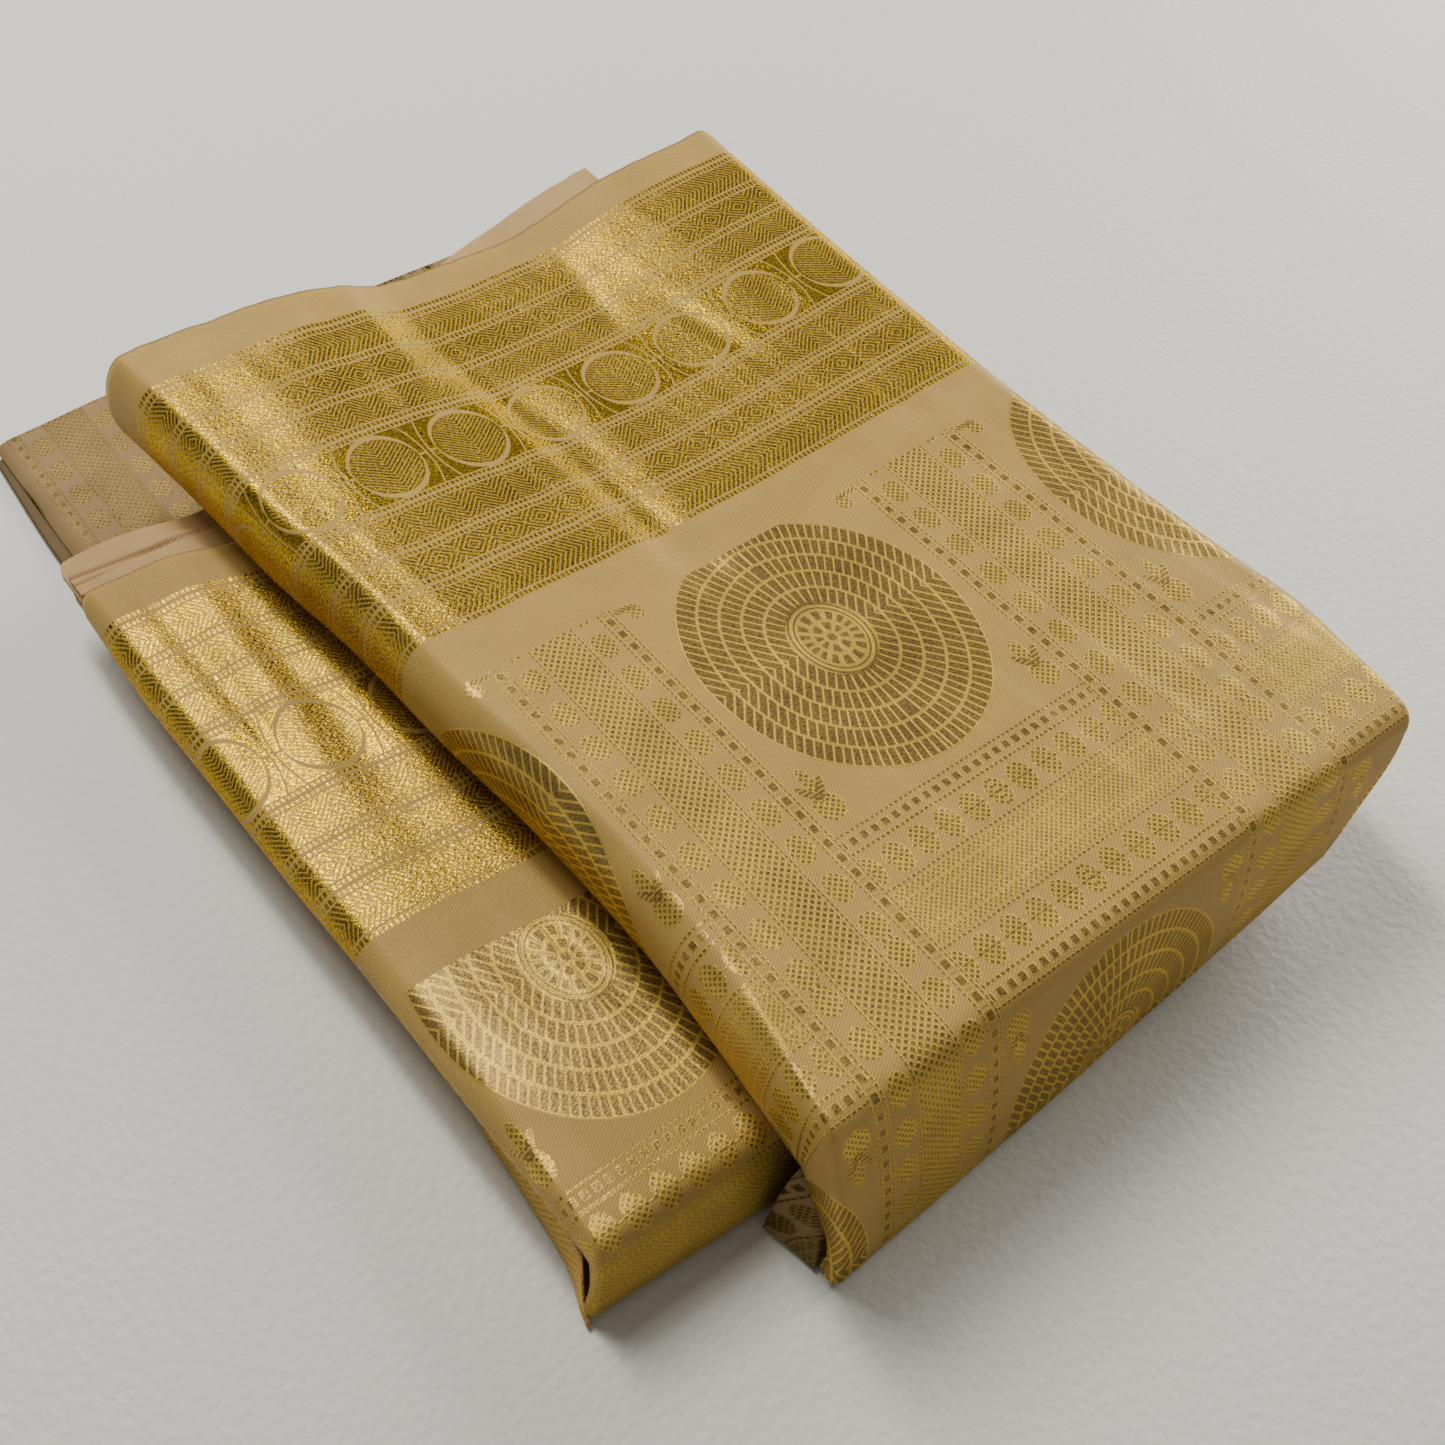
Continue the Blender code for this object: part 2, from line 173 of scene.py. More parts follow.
def closed_rim(outer: Array, inner: Array) -> Array:
    """The outer grid with its rim moved half way to the inner one's.

    Args:
        outer: points of one face of a leaf.
        inner: points of its other face.

    Returns:
        The outer points, with the rim moved.
    """
    closed = (outer + inner) / 2
    closed[1:-1, 1:-1] = outer[1:-1, 1:-1]
    return closed


@dataclass(frozen=True)
class Crease:
    """A soft ridge or trough along a straight line, in the pile's X and Y."""

    across: tuple[float, float]  # X of its back and front ends
    back: tuple[float, float]  # Y of its back and front ends
    width: float  # spread of its bell-shaped section
    height: float  # above the cloth, or below it where negative
    fade: float = 14.0  # how far it dies away past its ends

    def lift(self, x: Array, y: Array) -> Array:
        """How far the crease lifts the cloth.

        The height is a bell curve of the distance from the line, times one of the distance past its ends.

        Args:
            x: places along the cloth.
            y: places across the cloth.

        Returns:
            The lift at each place, below nought in a trough.
        """
        ends = np.array([self.across, self.back]).T
        line = ends[1] - ends[0]
        length = np.hypot(*line)
        way = line / length
        dx, dy = x - ends[0, 0], y - ends[0, 1]
        along = dx * way[0] + dy * way[1]
        aside = dx * way[1] - dy * way[0]
        past = np.maximum(np.maximum(-along, along - length), 0)
        return self.height * np.exp(-0.5 * (aside / self.width) ** 2 - (past / self.fade) ** 2)


def lifted(creases: Sequence[Crease], x: Array, y: Array) -> Array:
    """How far several creases lift the cloth together."""
    return sum(crease.lift(x, y) for crease in creases)


def rimmed(count: int, rim: float) -> tuple[Array, Array]:
    """Places along a leaf that is round at both ends.

    Within the rim a place is rim (1 - cos a) and the thickness sin a, with a from 0 to a right angle, so the
    edge is a half circle or half ellipse.

    Args:
        count: places between the two rims, both ends counted.
        rim: how much of the length each round edge takes.

    Returns:
        Places from 0 to 1, close together at both ends, and the share of the full thickness at each.
    """
    angle = np.linspace(0, np.pi / 2, 4)
    edge = rim * (1 - np.cos(angle))
    places = np.concatenate([edge[:-1], np.linspace(rim, 1 - rim, count), 1 - edge[-2::-1]])
    full = np.concatenate([np.sin(angle[:-1]), np.ones(count), np.sin(angle[-2::-1])])
    return places, full


def quads_of(number: Array) -> Array:
    """The quads of a grid of point numbers.

    Args:
        number: the number of each point, rows by columns.

    Returns:
        The four point numbers of each quad.
    """
    a, b = number[:-1, :-1], number[1:, :-1]
    c, d = number[1:, 1:], number[:-1, 1:]
    return np.stack([a.ravel(), b.ravel(), c.ravel(), d.ravel()], axis=1)


@dataclass
class Sheets:
    """The meshes of one piece of cloth: closed leaves, each from a grid for either face."""

    points: list[Array] = field(default_factory=list)
    quads: list[Array] = field(default_factory=list)
    cloth: list[Array] = field(default_factory=list)
    flat_area: float = 0.0

    def add(self, outer: Array, inner: Array, cloth: Array) -> None:
        """Adds a closed leaf between two grids.

        The inner grid's rim isn't used: its faces run to the outer grid's rim.

        Args:
            outer: points of one face, rows by columns, in millimetres.
            inner: points of the other face, the same number.
            cloth: place of each point on the cloth, across and deep, in millimetres.
        """
        rows, columns = outer.shape[:2]
        first = np.arange(rows * columns).reshape(rows, columns)
        second = first + rows * columns
        second[0], second[-1] = first[0], first[-1]
        second[:, 0], second[:, -1] = first[:, 0], first[:, -1]
        quads = np.concatenate([quads_of(first), quads_of(second)[:, ::-1]])
        points = np.concatenate([outer.reshape(-1, 3), inner.reshape(-1, 3)])
        places = np.concatenate([cloth.reshape(-1, 2)] * 2)
        used, quads = np.unique(quads, return_inverse=True)
        quads = quads.reshape(-1, 4)
        points = points[used]
        a, b, c, d = (points[quads[:, k]] for k in range(4))
        volume = np.einsum("ij,ij->", a, np.cross(b, c)) + np.einsum("ij,ij->", a, np.cross(c, d))
        self.quads.append((quads if volume > 0 else quads[:, ::-1]) + sum(len(p) for p in self.points))
        self.points.append(points)
        self.cloth.append(places[used])
        slant, other = cloth[1:, 1:] - cloth[:-1, :-1], cloth[1:, :-1] - cloth[:-1, 1:]
        twice = np.abs(slant[..., 0] * other[..., 1] - slant[..., 1] * other[..., 0])
        self.flat_area += float(twice.sum()) / 2 * MM**2

    def piece(
        self, name: str, materials: Sequence[bpy.types.Material], place: Callable[[Array], Array]
    ) -> bpy.types.Object:
        """Makes the object, with the cloth's own UV map in metres.

        Args:
            name: the object's name.
            materials: its finish, or that of the border and that of the field past it.
            place: from the pile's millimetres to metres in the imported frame.

        Returns:
            The new object.
        """
        quads = np.concatenate(self.quads)
        mesh = bpy.data.meshes.new(name)
        mesh.from_pydata(place(np.concatenate(self.points)), [], quads)
        cloth = np.concatenate(self.cloth)[quads.ravel()] * MM
        mesh.uv_layers.new(name=CLOTH_MAP).uv.foreach_set("vector", cloth.astype(np.float32).ravel())
        mesh.shade_smooth()
        for material in materials:
            mesh.materials.append(material)
        if len(materials) > 1:
            depth = cloth[:, 1].reshape(-1, 4).mean(axis=1)
            mesh.polygons.foreach_set("material_index", (depth > FIELD_SPLIT).astype(np.int32))
        piece = bpy.data.objects.new(name, mesh)
        bpy.context.scene.collection.objects.link(piece)
        LOG.info("%s: %d quads, %.3f square metres of cloth", name, len(quads), self.flat_area)
        return piece


@dataclass
class Leaf:
    """A layer of folded cloth with round edges, from left to right along X and front to back along Y."""

    left: Curve
    right: Curve
    front: Curve
    back: Curve
    middle: Surface  # height half way through it
    half: Surface  # half its thickness
    origin: tuple[float, float] = (0.0, 0.0)  # place on the cloth of X nought and of the back edge

    def into(self, sheets: Sheets, rows: int, columns: int) -> None:
        """Adds the leaf to a piece.

        Its points lie at share s of the way across and t of the way back, half a thickness up and down.

        Args:
            sheets: the piece's meshes.
            rows: places from front to back.
            columns: places from left to right.
        """
        middle_x = (self.left(0.0) + self.right(0.0)) / 2
        depth = abs(float(self.back(middle_x) - self.front(middle_x)))
        rim = float(np.mean(self.half(middle_x, self.back(middle_x))))
        t, thick_t = rimmed(rows, rim / depth)
        rough_y = self.front(middle_x) + (self.back(middle_x) - self.front(middle_x)) * t[:, None]
        left, right = self.left(rough_y), self.right(rough_y)
        s, thick_s = rimmed(columns, rim / float(np.mean(right - left)))
        x = left + (right - left) * s[None]
        y = self.front(x) + (self.back(x) - self.front(x)) * t[:, None]
        half = self.half(x, y) * thick_t[:, None] * thick_s[None]
        z = self.middle(x, y)
        cloth = np.stack([x + self.origin[0], self.origin[1] + self.back(x) - y], axis=-1)
        sheets.add(np.stack([x, y, z + half], axis=-1), np.stack([x, y, z - half], axis=-1), cloth)


def fill(slot: bpy.types.NodeSocket, value: Value) -> None:
    """Links a signal to an input, or sets the input to a colour or a number.

    Args:
        slot: the input.
        value: what it gets.
    """
    if isinstance(value, Signal):
        value.tree.links.new(value.socket, slot)
    elif isinstance(value, tuple):
        slot.default_value = (*value, 1.0)[: len(slot.default_value)]
    else:
        slot.default_value = value


def feed(node: bpy.types.Node, **inputs: Value) -> bpy.types.Node:
    """Fills a node's inputs, underscores in their names read as spaces.

    Args:
        node: the node.
        inputs: what each input gets.

    Returns:
        The node.
    """
    for name, value in inputs.items():
        fill(node.inputs[name.replace("_", " ")], value)
    return node


def make(tree: bpy.types.NodeTree, kind: str, **inputs: Value) -> bpy.types.Node:
    """Adds a node and fills its inputs."""
    return feed(tree.nodes.new(kind), **inputs)


@dataclass(frozen=True)
class Signal:
    """A value that changes over the surface: an output socket, with arithmetic that adds Math nodes."""

    tree: bpy.types.NodeTree
    socket: bpy.types.NodeSocket

    def math(self, operation: str, *others: Value, clamp: bool = False) -> "Signal":
        """Adds a Math node.

        Args:
            operation: what it works out.
            others: its inputs after this signal.
            clamp: whether the result is kept between 0 and 1.

        Returns:
            The node's result.
        """
        node = make(self.tree, "ShaderNodeMath")
        node.operation = operation
        node.use_clamp = clamp
        for slot, value in zip(node.inputs, (self, *others)):
            fill(slot, value)
        return Signal(self.tree, node.outputs[0])

    def __add__(self, other: Value) -> "Signal":
        """The sum."""
        return self.math("ADD", other)

    def __sub__(self, other: Value) -> "Signal":
        """The difference."""
        return self.math("SUBTRACT", other)

    def __rsub__(self, other: float) -> "Signal":
        """The difference from a number."""
        return self.math("MULTIPLY_ADD", -1.0, other)

    def __mul__(self, other: Value) -> "Signal":
        """The product."""
        return self.math("MULTIPLY", other)

    def __truediv__(self, other: Value) -> "Signal":
        """The quotient."""
        return self.math("DIVIDE", other)

    def __abs__(self) -> "Signal":
        """The size without its sign."""
        return self.math("ABSOLUTE")

    def above(self, edge: float, soft: float) -> "Signal":
        """From 0 to 1 across an edge, over a soft width."""
        return self.math("MULTIPLY_ADD", 1 / soft, 0.5 - edge / soft, clamp=True)

    def below(self, edge: float, soft: float) -> "Signal":
        """From 1 to 0 across an edge, over a soft width."""
        return self.math("MULTIPLY_ADD", -1 / soft, 0.5 + edge / soft, clamp=True)

    def past(self, edge: Value) -> "Signal":
        """1 above an edge, and 0 below it."""
        return self.math("GREATER_THAN", edge)

    def within(self, start: float, end: float) -> "Signal":
        """1 between two edges, and 0 elsewhere."""
        return self.past(start) - self.past(end)

    def near(self, centre: float, half: float, soft: float) -> "Signal":
        """1 within half a width of a centre, with soft edges."""
        return abs(self - centre).below(half, soft)

    def cycle(self) -> "Signal":
        """The part after the point, from 0 up to 1."""
        return self.math("FRACT")

    def stitch(self, half: float, soft: float) -> "Signal":
        """1 in the middle of each whole step, half a width to either side, with soft edges."""
        return self.cycle().near(0.5, half, soft)

    def wrapped(self, length: float, centre: float, turns: int) -> "Signal":
        """How far a place lies past a repeat's nearest centre, read some turns on to stay above 0."""
        return (self + (length / 2 - centre + turns * length)).math("MODULO", length) - length / 2

    def least(self, other: Value) -> "Signal":
        """The smaller of two."""
        return self.math("MINIMUM", other)

    def most(self, other: Value) -> "Signal":
        """The greater of two."""
        return self.math("MAXIMUM", other)

    def mixed(self, other: Value, share: "Signal") -> "Signal":
        """This signal where the share is 0, and the other where it is 1."""
        return self + (self * -1.0 + other) * share


def mixed_colour(first: Value, second: Value, share: Signal) -> Signal:
    """The first colour where the share is 0, and the second where it is 1.

    Args:
        first: a colour.
        second: another colour.
        share: how much of the second shows.

    Returns:
        The mixed colour.
    """
    node = make(share.tree, "ShaderNodeMix")
    node.data_type = "RGBA"
    for slot, value in ((0, share), (6, first), (7, second)):
        fill(node.inputs[slot], value)
    return Signal(share.tree, node.outputs[2])


def lit_colour(colour: Value, light: Signal) -> Signal:
    """A colour times a signal.

    Args:
        colour: the colour.
        light: what it is multiplied by.

    Returns:
        The product.
    """
    node = make(light.tree, "ShaderNodeVectorMath")
    node.operation = "SCALE"
    fill(node.inputs[0], colour)
    return Signal(light.tree, feed(node, Scale=light).outputs[0])


def radius(x: Signal, y: Signal, wide: float, high: float) -> Signal:
    """1 on an ellipse with these half axes: the root of (x / wide)^2 + (y / high)^2."""
    a, b = x * (1 / wide), y * (1 / high)
    return (a * a + b * b).math("SQRT")


def total(parts: Sequence[Signal]) -> Signal:
    """The sum of several signals.

    Args:
        parts: the signals, one at least.

    Returns:
        The sum.
    """
    result = parts[0]
    for part in parts[1:]:
        result = result + part
    return result


def mesh_of(x: Signal, y: Signal, pitch: float) -> Signal:
    """Small lozenges where two sets of slanting threads cross, a pitch apart."""
    return ((x + y) / pitch).stitch(0.36, 0.2) * ((x - y) / pitch).stitch(0.36, 0.2)


@dataclass
class Group:
    """A shader node group while it is built. Each reads the cloth's own map and gives numbers."""

    name: str
    results: Sequence[str]
    numbers: Sequence[str] = ()

    def __post_init__(self) -> None:
        """Makes the tree and its sockets."""
        self.tree = bpy.data.node_groups.new(self.name, "ShaderNodeTree")
        sockets = [("Cloth", "INPUT", "NodeSocketVector")]
        sockets += [(name, "INPUT", "NodeSocketFloat") for name in self.numbers]
        sockets += [(name, "OUTPUT", "NodeSocketFloat") for name in self.results]
        for name, way, kind in sockets:
            self.tree.interface.new_socket(name, in_out=way, socket_type=kind)
        self.source = self.tree.nodes.new("NodeGroupInput")
        self.sink = self.tree.nodes.new("NodeGroupOutput")

    def __getitem__(self, name: str) -> Signal:
        """One input."""
        return Signal(self.tree, self.source.outputs[name])

    def place(self, scale: float) -> tuple[Signal, Signal]:
        """The place on the cloth, across and deep, times a scale."""
        split = make(self.tree, "ShaderNodeSeparateXYZ", Vector=self["Cloth"])
        return Signal(self.tree, split.outputs[0]) * scale, Signal(self.tree, split.outputs[1]) * scale


class Motif(Enum):
    """What a row of the border is woven with."""

    LADDER = "rows of small squares"
    HERRINGBONE = "lines that lean to the row's middle"
    LATTICE = "nested diamonds"
    ZIGZAG = "nested zigzags"
    COINS = "round coins in a ring"


@dataclass(frozen=True)
class Row:
    """One woven row of the border, in millimetres of chart from the selvage."""

    motif: Motif
    start: float
    end: float
    lines: int = 1

    @property
    def middle(self) -> float:
        """Half way across the row."""
        return (self.start + self.end) / 2


@dataclass(frozen=True)
class BorderChart:
    """The wide zari border: gold rows with thin silk lines, and coins along its middle.

    Sizes are in millimetres of chart, X along the cloth and V deep from the selvage.
    """

    rows: tuple[Row, ...] = (
        Row(Motif.LADDER, 18.0, 25.5, 2),
        Row(Motif.HERRINGBONE, 25.5, 41.0),
        Row(Motif.LADDER, 41.0, 45.5),
        Row(Motif.LATTICE, 45.5, 60.0),
        Row(Motif.LADDER, 60.0, 64.5),
        Row(Motif.ZIGZAG, 64.5, 79.0),
        Row(Motif.LADDER, 79.0, 86.0, 2),
        Row(Motif.COINS, 86.0, 121.0),
        Row(Motif.LADDER, 121.0, 127.0, 2),
        Row(Motif.ZIGZAG, 127.0, 142.0),
        Row(Motif.LADDER, 142.0, 148.0, 2),
        Row(Motif.LATTICE, 148.0, 160.0),
        Row(Motif.LADDER, 160.0, 167.0, 2),
        Row(Motif.HERRINGBONE, 167.0, 182.0),
        Row(Motif.LADDER, 182.0, 186.0),
    )
    square_pitch: float = 1.9
    herring_pitch: float = 2.1
    herring_lean: float = 0.75
    lattice_pitch: float = 2.4
    zigzag_pitch: float = 2.3
    zigzag_lean: float = 1.1
    cell: float = 7.0  # half the width of a diamond or zigzag
    line_share: float = 0.28  # of a pitch that its silk line takes
    coin_pitch: float = 34.5
    coin_first: float = -11.0
    coin_half: tuple[float, float] = (13.5, 16.7)
    waist: float = 0.9  # half the gap between two coins' silk lines where they come closest
    waist_curve: float = 2.6 / 17.0**2
    chevron_pitch: float = 1.9

    def ladder(self, x: Signal, v: Signal, windows: dict[Row, Signal]) -> Signal:
        """Gold squares on silk: the middle of each cell, counted along X and across the row.

        Args:
            x: the place along the cloth.
            v: the depth from the selvage.
            windows: 1 inside each row, and 0 outside it.

        Returns:
            1 on a square, and 0 on the silk or outside these rows.
        """
        rows = [row for row in self.rows if row.motif is Motif.LADDER]
        across = total([(v - row.start) * (row.lines / (row.end - row.start)) * windows[row] for row in rows])
        square = across.stitch(0.29, 0.16) * (x / self.square_pitch).stitch(0.33, 0.2)
        return square * total([windows[row] for row in rows])

    def hatch(self, x: Signal, v: Signal, windows: dict[Row, Signal]) -> Signal:
        """Gold between thin silk lines, which lie where a distance s is a whole number of pitches.

        Herringbone: s = x + 0.75 |v - middle|. Lattice: s = fold(x) + |v - middle|. Zigzag: s = v less
        1.1 fold(x). The fold runs up and down between nought and the width of a cell.

        Args:
            x: the place along the cloth.
            v: the depth from the selvage.
            windows: 1 inside each row, and 0 outside it.

        Returns:
            1 on the gold, and 0 on a line or outside these rows.
        """
        folded = (x + 1000 * self.cell).math("PINGPONG", self.cell)
        parts, inside = [], []
        for row, window in windows.items():
            if row.motif is Motif.HERRINGBONE:
                steps = (x + abs(v - row.middle) * self.herring_lean) * (1 / self.herring_pitch)
            elif row.motif is Motif.LATTICE:
                steps = (folded + abs(v - row.middle)) * (1 / self.lattice_pitch)
            elif row.motif is Motif.ZIGZAG:
                steps = (v - folded * self.zigzag_lean) * (1 / self.zigzag_pitch)
            else:
                continue
            parts.append(steps * window)
            inside.append(window)
        return total(parts).stitch(0.5 - self.line_share / 2, 0.2) * total(inside)

    def coins(self, x: Signal, v: Signal, windows: dict[Row, Signal]) -> Signal:
        """Gold coins in silk rings, with a waisted pair of silk lines between one coin and the next.

        Args:
            x: the place along the cloth.
            v: the depth from the selvage.
            windows: 1 inside each row, and 0 outside it.

        Returns:
            1 on the gold, and 0 on the silk or outside the row.
        """
        row = next(row for row in self.rows if row.motif is Motif.COINS)
        u = x.wrapped(self.coin_pitch, self.coin_first, 100)
        dy = v - row.middle
        r = radius(u, dy, *self.coin_half)
        rim = abs(dy) * (0.062 / self.coin_half[1]) + 0.012
        gold = (abs(r - 1 + rim * 0.2) - rim).above(0.0, 0.04)
        aside = self.coin_pitch / 2 - abs(u)
        waist = dy * dy * self.waist_curve + self.waist
        lines = (abs(aside - waist) - 0.32).above(0.0, 0.3)
        cross = (abs(dy) - 0.5).above(0.0, 0.4).most(r.below(1.0, 0.02)).most((aside - waist).below(0.0, 0.2))
        chevron = ((v + abs(u) * 0.8) * (1 / self.chevron_pitch)).stitch(0.37, 0.22)
        return gold * lines * cross * chevron.mixed(1.0, r.above(0.9, 0.04)) * windows[row]

    def gold(self, x: Signal, v: Signal) -> Signal:
        """Where the border's gold shows."""
        windows = {row: v.within(row.start, row.end) for row in self.rows}
        return self.ladder(x, v, windows) + self.hatch(x, v, windows) + self.coins(x, v, windows)


@dataclass(frozen=True)
class FieldChart:
    """The field: oval rosettes between pillars of rails, dots and mesh, and bands of small flowers.

    Sizes are in millimetres of chart. X runs along the cloth, and W is the height over the line that the
    field is mirrored in. PS is the distance from the nearest pillar's middle.
    """

    start: float = 207.0
    mirror: float = 363.0  # depth of the mirror line
    repeat: float = 157.0
    pillar: float = 23.0  # place of a pillar's middle
    pillar_half: float = 25.2
    rail: tuple[float, float] = (22.0, 1.35)  # its middle and half its width
    rail_pitch: float = 6.7
    bounds: tuple[float, ...] = (24.4, 19.6, 8.6)
    dots: float = 14.0
    dot_half: tuple[float, float] = (4.2, 6.2)
    dot_pitch: float = 17.2
    mesh_half: float = 7.8
    mesh_pitch: float = 2.9
    rosette_high: float = 102.0  # height of a rosette's middle
    rosette_half: tuple[float, float] = (49.0, 60.0)
    centre_half: tuple[float, float] = (14.0, 19.0)
    petals: tuple[int, int] = (8, 16)
    rings: int = 5
    bar: float = 3.1
    fan: float = math.radians(36)
    gap_gold: float = 0.3  # how much gold shows in the gaps between a rosette's bars
    band_high: float = 37.0
    band_mesh: float = 11.0  # height of the band's dense mesh
    band_mesh_pitch: float = 2.1
    band_parts: tuple[tuple[float, float], ...] = ((7.4, 0.35), (3.9, 0.3))  # height and half width of each
    band_lines: tuple[tuple[float, float], ...] = ((36.6, 0.5), (29.0, 0.6), (12.4, 0.5))
    band_squares: float = 33.0
    flower_high: float = 20.5
    flower_half: tuple[float, float] = (4.3, 6.4)
    flower_pitch: float = 10.7
    flower_row: tuple[float, float] = (13.2, 28.0)
    bush: tuple[float, float] = (31.5, 44.0)  # PS of its stem and W of its foot
    pillar_top: float = 153.5

    def rosette(self, x: Signal, w: Signal) -> Signal:
        """Rings of bars round a flower.

        A bar's place in its ring is the distance along the ring over the bar's width. Beyond the fan angle
        from upright that distance is measured square to lines which lean at the fan angle, and within it
        round the centre. Bars of one ring stand half a bar aside of the next.

        Args:
            x: the distance from the rosette's middle along the cloth.
            w: the height over the mirror line.

        Returns:
            How much gold shows.
        """
        ax = abs(x)
        ay = abs(w - self.rosette_high)
        r = radius(ax, ay, *self.rosette_half)
        core = self.centre_half[0] / self.rosette_half[0]
        place = (r - core) * (self.rings / (1 - core))
        ring = place.math("FLOOR")
        middle = (ring + 0.5) * ((1 - core) / self.rings) + core
        square = ax * math.cos(self.fan) - ay * math.sin(self.fan)
        along = ax * math.sin(self.fan) + ay * math.cos(self.fan)
        round_centre = square.math("ARCTAN2", along) * middle * (self.rosette_half[1] / self.bar)
        bars = round_centre.mixed(square * (1 / self.bar), square.past(0.0)) + ring * 0.5
        raised = (bars + 100).stitch(0.42, 0.16) * place.stitch(0.45, 0.08)
        inside = r.below(1.0, 0.02) * r.above(core, 0.03)
        return (raised * (1 - self.gap_gold) + self.gap_gold) * inside + self.heart(ax, ay)

    def heart(self, ax: Signal, ay: Signal) -> Signal:
        """The heart of a rosette: a disc, two rings of petals and a double ring.

        Args:
            ax: the distance from its middle along the cloth.
            ay: the distance across the cloth.

        Returns:
            How much gold shows.
        """
        r = radius(ax, ay, *self.centre_half)
        turn = ay.math("ARCTAN2", ax) * (1 / math.tau)
        inner = (turn * self.petals[0]).stitch(0.34, 0.16) * r.near(0.3, 0.12, 0.08)
        outer = (turn * self.petals[1]).stitch(0.33, 0.16) * r.near(0.6, 0.13, 0.06)
        rings = r.near(0.8, 0.03, 0.03) + r.near(0.92, 0.03, 0.03)
        return (r.below(0.12, 0.06) + inner + outer + rings).least(1.0) * 0.75 + r.below(1.0, 0.03) * 0.25

    def pillars(self, ps: Signal, w: Signal) -> Signal:
        """Two rails with squares, two columns of dots and a mesh between, from a pillar's middle out.

        Args:
            ps: the distance from the pillar's middle.
            w: the height over the mirror line.

        Returns:
            How much gold shows.
        """
        squares = (w / self.rail_pitch).cycle()
        marks = squares.near(0.5, 0.26, 0.08).most(squares.near(0.0, 0.05, 0.05))
        bounds = total([ps.near(place, 0.45, 0.4) for place in self.bounds]) * (w / 2.2).stitch(0.36, 0.2)
        high = ((w + 3.2) / self.dot_pitch).cycle() * self.dot_pitch - self.dot_pitch / 2
        mesh = (mesh_of(ps, w, self.mesh_pitch) * 0.85 + 0.15) * ps.below(self.mesh_half, 0.4)
        dots = self.oval(ps - self.dots, high, *self.dot_half)
        return ps.near(*self.rail, 0.5) * marks + bounds + dots + mesh

    def oval(self, x: Signal, y: Signal, wide: float, high: float) -> Signal:
        """A small flower with uneven edges, woven in a slanting check.

        Args:
            x: the distance from its middle along the cloth.
            y: the distance across the cloth.
            wide: half its width.
            high: half its height.

        Returns:
            How much gold shows.
        """
        one, other = ((x + y) / 2.5).cycle(), ((x - y) / 2.5).cycle()
        r = radius(x, y, wide, high) + one * 0.1 + other * 0.1
        return r.below(1.08, 0.1) * (one.near(0.5, 0.36, 0.24) * other.near(0.5, 0.38, 0.24) * 0.7 + 0.3)

    def band(self, x: Signal, w: Signal) -> Signal:
        """The band between pillars: a dense mesh, a row of flowers and one of squares, with lines between.

        Args:
            x: the distance from the middle between two pillars.
            w: the height over the mirror line.

        Returns:
            How much gold shows.
        """
        parts = total([w.near(high, half, 0.3) for high, half in self.band_parts])
        dense = (mesh_of(x, w, self.band_mesh_pitch) * 0.8 + 0.15) * (1 - parts * 0.6)
        u = (((x + 4.85) / self.flower_pitch).cycle() - 0.5) * self.flower_pitch
        stem = w.near(self.flower_high, 0.25, 0.3) * 0.5
        flowers = (self.oval(u, w - self.flower_high, *self.flower_half) + stem).least(1.0)
        squares = w.near(self.band_squares, 1.5, 0.4) * (x / 4.3).stitch(0.3, 0.1)
        dashes = (x / 2.0).stitch(0.4, 0.2)
        lines = total([w.near(high, half, 0.4) for high, half in self.band_lines]) * dashes
        return dense * w.below(self.band_mesh, 0.4) + flowers * w.within(*self.flower_row) + squares + lines

    def buds(self, ps: Signal, w: Signal) -> Signal:
        """A bush of leaves beside each pillar over the band, and a stem with a leaf at the pillar's top.

        Args:
            ps: the distance from the pillar's middle.
            w: the height over the mirror line.

        Returns:
            How much gold shows.
        """
        aside, rise = ps - self.bush[0], w - self.bush[1]
        body = self.oval(aside, rise - 3.5, 5.0, 6.0)
        tip = self.oval(aside - 0.5, rise - 14.5, 2.2, 6.5)
        slant = abs(aside) - (rise - 9.0) * 0.55
        leaf = radius(slant - 1.2, rise - 10.5, 1.7, 5.0).below(1.0, 0.14) * (rise / 1.7).stitch(0.36, 0.24)
        top = w - self.pillar_top
        stem = top.near(0.0, 1.4, 0.6) * ps.below(33.0, 0.5) * ((ps + top) / 1.9).stitch(0.34, 0.2)
        return body.most(tip).most(leaf) + stem.most(self.oval(ps - 32.0, top + 3.0, 3.0, 3.6))

    def gold(self, x: Signal, v: Signal) -> Signal:
        """Where the field's gold shows.

        Args:
            x: the place along the cloth.
            v: the depth from the selvage.

        Returns:
            How much gold shows, from 0 to about 1.
        """
        w = abs(v - self.mirror)
        ps = abs(x.wrapped(self.repeat, self.pillar, 20))
        from_rosette = ps - self.repeat / 2
        outside, above = ps.past(self.pillar_half), w.past(self.band_high)
        band = self.band(from_rosette, w) * (outside * (1 - above))
        open_field = self.rosette(from_rosette, w).most(self.buds(ps, w)) * (outside * above)
        return self.pillars(ps, w) * (1 - outside) + band + open_field


class Weave(Enum):
    """What a stretch of the cloth is woven with."""

    PLAIN = "plain silk"
    BORDER = "zari border"
    FIELD = "zari field"


